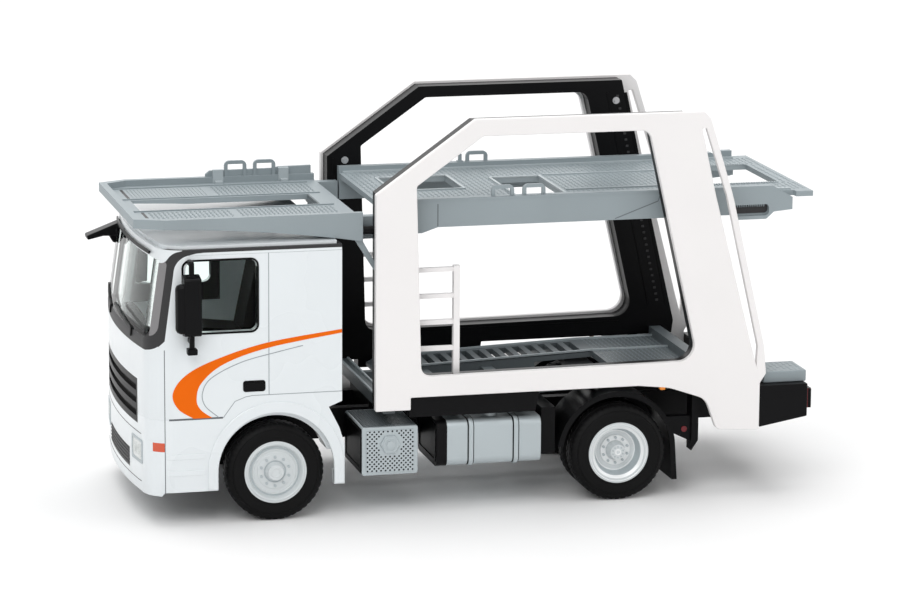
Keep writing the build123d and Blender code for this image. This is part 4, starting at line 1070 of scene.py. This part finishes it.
for side, turn in SIDES:
    face = end_face(turn)
    # Painted shade: the black band round the front, the black end plate and its rim stand in for the shade on
    # the tank's forward end
    shade_band = [tank_loop(*row) for row in SHADE_BAND_LOOPS]
    end_rim = [tank_loop(*row) for row in END_RIM_LOOPS]
    beside_strap = [tank_loop(*row) for row in LINE_LOOPS]
    front_end = [
        ring(*shade_band, face, TANK_FRONT - SHADE_BAND, TANK_FRONT + SHADE_BAND_RISE),
        slab(tank_loop(*END_LOOP), face, TANK_FRONT - DEEP, TANK_FRONT + PRINT),
        ring(*end_rim, face, TANK_FRONT, TANK_FRONT + END_RIM_RISE),
    ]
    piece(side + "_tank_end_shade", front_end, "black_plastic", smooth=True)
    lines = []
    for x in TANK_STRAPS:
        for beside, half in STRAP_LINES:
            lines.append(ring(*beside_strap, face, x + beside - half, x + beside + half))
    piece(side + "_tank_lines", lines, "black_plastic")

# Tail: frames, divisions and amber ends on the rear lamps, reflectors and side markers
LENS_BACK = -61.9
TAIL_LAMP = (9.95, 14.3, 9.65, 11.95)
TAIL_FRAME = 0.25
TAIL_FRAME_DEEP = 0.3
TAIL_BENDS = (0.2, 0.15)
DIVISIONS = (11.5, 12.8)
DIVISION_HALF = 0.08
DIVISION_IN = 0.15
DIVISION_DEEP = 0.2
AMBER_LENS = (12.95, 14.0, 9.95, 11.65)
AMBER_BEND = 0.1
AMBER_RISE = 0.03
AMBER_DEEP = 0.1
REFLECTOR = (-47.5, 7.5)
REFLECTOR_IN = 12.2
REFLECTOR_R = 0.26
REFLECTOR_THICK = 0.2
RIM_R = 0.34
RIM_THICK = 0.22
DISC_SIDES = 20
MARKER = (-44.5, -43.9, 12.72, 13.1)
MARKER_BEND = 0.1
MARKER_IN = 13.95
for side, turn in SIDES:
    end = end_face(turn)
    face = side_face(turn)
    outer = rounded(*TAIL_LAMP, TAIL_BENDS[0])
    inner = rounded(*grown(TAIL_LAMP, -TAIL_FRAME), TAIL_BENDS[1])
    bars = [ring(outer, inner, end, LENS_BACK - SINK, LENS_BACK + TAIL_FRAME_DEEP)]
    for y in DIVISIONS:
        high = (TAIL_LAMP[2] + DIVISION_IN, TAIL_LAMP[3] - DIVISION_IN)
        bar = corners(y - DIVISION_HALF, y + DIVISION_HALF, *high)
        bars.append(slab(bar, end, LENS_BACK - SINK, LENS_BACK + DIVISION_DEEP))
    piece(side + "_tail_lamp_frame", bars, "black_plastic")
    loop = rounded(*AMBER_LENS, AMBER_BEND)
    amber = slab(loop, end, LENS_BACK - AMBER_RISE, LENS_BACK + AMBER_DEEP)
    piece(side + "_tail_amber", [amber], "lens_amber")
    disc = circle(*REFLECTOR, REFLECTOR_R, DISC_SIDES)
    rim = circle(*REFLECTOR, RIM_R, DISC_SIDES)
    reflector = [
        slab(disc, face, REFLECTOR_IN, REFLECTOR_IN + REFLECTOR_THICK),
        ring(rim, disc, face, REFLECTOR_IN, REFLECTOR_IN + RIM_THICK),
    ]
    piece(side + "_reflector", reflector, "lamp_red")
    marker = slab(rounded(*MARKER, MARKER_BEND), face, MARKER_IN, HALF_WIDTH - SINK)
    piece(side + "_side_marker", [marker], "lens_amber")

# Tyres with shouldered treads, in place of the plain ones
LUGS = 46
LUG_STEPS = 4
LUG_DEEP = 0.08
LUG_REACH = 0.4
SHOULDER = 1.0
TREAD_INSET = 0.008
TREAD_R = TYRE_R - TREAD_INSET
HALF_PROFILE = [
    # radius below the tread, depth from the tyre's face
    (2.04, 0.34), (2.0, 0.14), (1.88, 0.08), (1.76, 0.14), (1.6, 0.12), (1.1, 0.01), (0.78, 0.02),
    (0.7, 0.09), (0.62, 0.05), (0.36, 0.16), (0.18, 0.3), (0.06, 0.48), (0.0, 0.62), (0.0, 0.98),
    (0.13, 1.02), (0.13, 1.14), (0.0, 1.18),
]
outer_half = [(TREAD_R - drop, deep) for drop, deep in HALF_PROFILE]
TYRE_PROFILE = outer_half + [(r, TYRE_WIDTH - deep) for r, deep in reversed(outer_half)]


def make_tyre(name, node, axle_x, turn, outer_y, body):
    profile = [(r, outer_y - deep) for r, deep in TYRE_PROFILE]

    def lug_gap(k, r, y):
        deep = outer_y - y
        shoulder = deep < SHOULDER or deep > TYRE_WIDTH - SHOULDER
        gap = k % LUG_STEPS == 0 and TREAD_R - r < LUG_REACH
        return LUG_DEEP if shoulder and gap else 0.0

    tyre = spun(axle_x, turn, profile, LUGS * LUG_STEPS, lug_gap)
    obj = piece(name, [tyre], "tyre_black", body, smooth=True)
    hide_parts(node)


# Wheels: rings on the rims and hubs, wheel nuts, dark rings painted on the front rims as the shade in
# grooves, and bright lips on the rear rims
WHEEL_SIDES = 64
BAND_SOFT = 0.05
NUTS = 10
NUT_SIDES = 6
FRONT_DISH = TYRE_OUT - 0.55
FRONT_TRIM = [
    # inner radius, outer radius, inner y, outer y
    (2.38, 2.56, FRONT_DISH - 0.1, FRONT_DISH + 0.13),
    (1.22, 2.0, FRONT_DISH - 0.1, FRONT_DISH + 0.07),
    (0.42, 0.6, TYRE_OUT + 0.1, TYRE_OUT + 0.2),
    (3.1, 3.28, TYRE_OUT - 0.25, TYRE_OUT - 0.1),
]
# Painted shade: dark rings on the front rims stand in for the shade in grooves
FRONT_GROOVE_SHADE = [
    # inner radius, outer radius, inner y, outer y
    (2.6, 2.8, FRONT_DISH - 0.1, FRONT_DISH + 0.03),
    (1.12, 1.24, FRONT_DISH - 0.1, FRONT_DISH + 0.1),
]
REAR_DISH = TYRE_OUT - 1.7
REAR_HUB = TYRE_OUT - 0.4
REAR_LIP = TYRE_OUT - 0.1
REAR_TRIM = [
    # inner radius, outer radius, inner y, outer y
    (1.1, 1.75, REAR_DISH - 0.1, REAR_DISH + 0.16),
    (2.2, 2.4, REAR_DISH - 0.1, REAR_DISH + 0.14),
    (0.2, 0.36, REAR_HUB - 0.05, REAR_HUB + 0.1),
]
LIP_PROFILE = [(3.3, REAR_LIP - 0.2), (3.3, REAR_LIP), (2.72, REAR_LIP - 0.4), (2.72, REAR_LIP - 0.6)]
WELL_PROFILE = [
    # radius, y
    (2.72, REAR_LIP - 0.5), (2.66, REAR_LIP - 0.5), (2.3, REAR_DISH + 0.02), (2.72, REAR_DISH + 0.02),
]

# Wheel nuts: radius of their ring, radius of a nut, inner y, outer y
FRONT_NUTS = (1.62, 0.17, FRONT_DISH, FRONT_DISH + 0.22)
REAR_NUTS = (1.45, 0.16, REAR_DISH, REAR_DISH + 0.36)
HUB_NUTS = (0.62, 0.09, REAR_HUB - 0.05, REAR_HUB + 0.08)


def bolts(axle_x, turn, reach, size, low, high):
    shapes = []
    for k in range(NUTS):
        a = 2 * math.pi * (k + 0.5) / NUTS
        spot = (axle_x + reach * math.cos(a), TYRE_R + reach * math.sin(a))
        shapes.append(slab(circle(*spot, size, NUT_SIDES, a), side_face(turn), low, high))
    return shapes


def band(axle_x, turn, inner, outer, low, high):
    soft = min(BAND_SOFT, (outer - inner) / 4, (high - low) / 3)
    crown = [(outer, high - soft), (outer - soft, high), (inner + soft, high), (inner, high - soft)]
    return spun(axle_x, turn, [(inner, low), (outer, low)] + crown, WHEEL_SIDES)


for side, turn in SIDES:
    make_tyre(side + "_front_tread", side + "_front_tyre", 0.0, turn, TYRE_OUT, "front_wheels")
    make_tyre(side + "_rear_outer_tread", side + "_rear_outer_tyre", REAR_AXLE, turn, TYRE_OUT, "rear_wheels")
    make_tyre(side + "_rear_inner_tread", side + "_rear_inner_tyre", REAR_AXLE, turn, TWIN_IN, "rear_wheels")
    trim = [band(0.0, turn, *row) for row in FRONT_TRIM]
    piece(side + "_front_wheel_trim", trim, "rim_silver", "front_wheels", smooth=True)
    nuts = bolts(0.0, turn, *FRONT_NUTS)
    nuts += [band(0.0, turn, *row) for row in FRONT_GROOVE_SHADE]
    piece(side + "_front_wheel_nuts_and_groove_shade", nuts, "silver", "front_wheels")
    trim = [band(REAR_AXLE, turn, *row) for row in REAR_TRIM]
    trim.append(spun(REAR_AXLE, turn, LIP_PROFILE, WHEEL_SIDES))
    piece(side + "_rear_wheel_trim", trim, "rim_bright", "rear_wheels", smooth=True)
    nuts = bolts(REAR_AXLE, turn, *REAR_NUTS)
    nuts += bolts(REAR_AXLE, turn, *HUB_NUTS)
    nuts.append(spun(REAR_AXLE, turn, WELL_PROFILE, WHEEL_SIDES))
    piece(side + "_rear_wheel_nuts", nuts, "silver", "rear_wheels")

# Camera at the photograph's viewpoint, turned to the truck and with a longer lens
EYE = place(84.226, 422.199, 112.512)
AIM = place(-23.2, 0.0, 21.0)
ROLL = math.radians(0.35)
LENS = 156.0
SENSOR = 36.0
cam_data = bpy.data.cameras.new("camera")
cam_data.lens = LENS
cam_data.sensor_width = SENSOR
cam = bpy.data.objects.new("camera", cam_data)
bpy.context.scene.collection.objects.link(cam)
facing = (AIM - EYE).to_track_quat("-Z", "Y").to_matrix().to_4x4()
cam.matrix_world = Matrix.Translation(EYE) @ facing @ Matrix.Rotation(ROLL, 4, "Z")
bpy.context.scene.camera = cam

# Floor, with its half width in m
FLOOR_REACH = 3.0
mesh = bpy.data.meshes.new("floor")
plan = corners(-FLOOR_REACH, FLOOR_REACH, -FLOOR_REACH, FLOOR_REACH)
mesh.from_pydata([(x, y, 0.0) for x, y in plan], [], [(0, 1, 2, 3)])
floor = bpy.data.objects.new("floor", mesh)
bpy.context.scene.collection.objects.link(floor)
floor.data.materials.append(LOOKS["floor_white"])

# Lights
LAMPS = [
    # name, place, aim and size in m, power in W
    ("key", (0.30, 0.50, 0.55), (0, 0, 0.02), (0.5, 0.5), 2.2),
    ("fill", (-0.6, 0.35, 0.35), (0, 0, 0.02), (0.5, 0.4), 0.8),
    ("top", (0.0, -0.15, 0.7), (0, 0, 0.0), (0.7, 0.7), 2.7),
    ("back", (0.0, -0.6, 0.2), (0, 0, 0.03), (1.0, 0.25), 0.7),
]
for name, spot, aim, size, power in LAMPS:
    data = bpy.data.lights.new(name, "AREA")
    data.shape = "RECTANGLE"
    data.size, data.size_y = size
    data.energy = power
    lamp = bpy.data.objects.new(name, data)
    lamp.location = spot
    lamp.rotation_euler = (Vector(aim) - Vector(spot)).to_track_quat("-Z", "Y").to_euler()
    bpy.context.scene.collection.objects.link(lamp)

# World: white where it is seen, mirrored or looked at through glass, and half as strong as light
SKY_LIGHT = 0.5
SKY_SEEN = 1.0
world = bpy.data.worlds.new("world")
bpy.context.scene.world = world
world.use_nodes = True
tree = world.node_tree
paths = tree.nodes.new("ShaderNodeLightPath")
seen = paths.outputs["Is Camera Ray"]
for ray in ("Is Glossy Ray", "Is Transmission Ray"):
    both = tree.nodes.new("ShaderNodeMath")
    both.operation = "MAXIMUM"
    tree.links.new(seen, both.inputs[0])
    tree.links.new(paths.outputs[ray], both.inputs[1])
    seen = both.outputs["Value"]
level = tree.nodes.new("ShaderNodeMapRange")
level.inputs["To Min"].default_value = SKY_LIGHT
level.inputs["To Max"].default_value = SKY_SEEN
tree.links.new(seen, level.inputs["Value"])
sky = tree.nodes["Background"]
sky.inputs["Color"].default_value = (1.0, 1.0, 1.0, 1.0)
tree.links.new(level.outputs["Result"], sky.inputs["Strength"])

bpy.context.scene.view_settings.view_transform = "Standard"
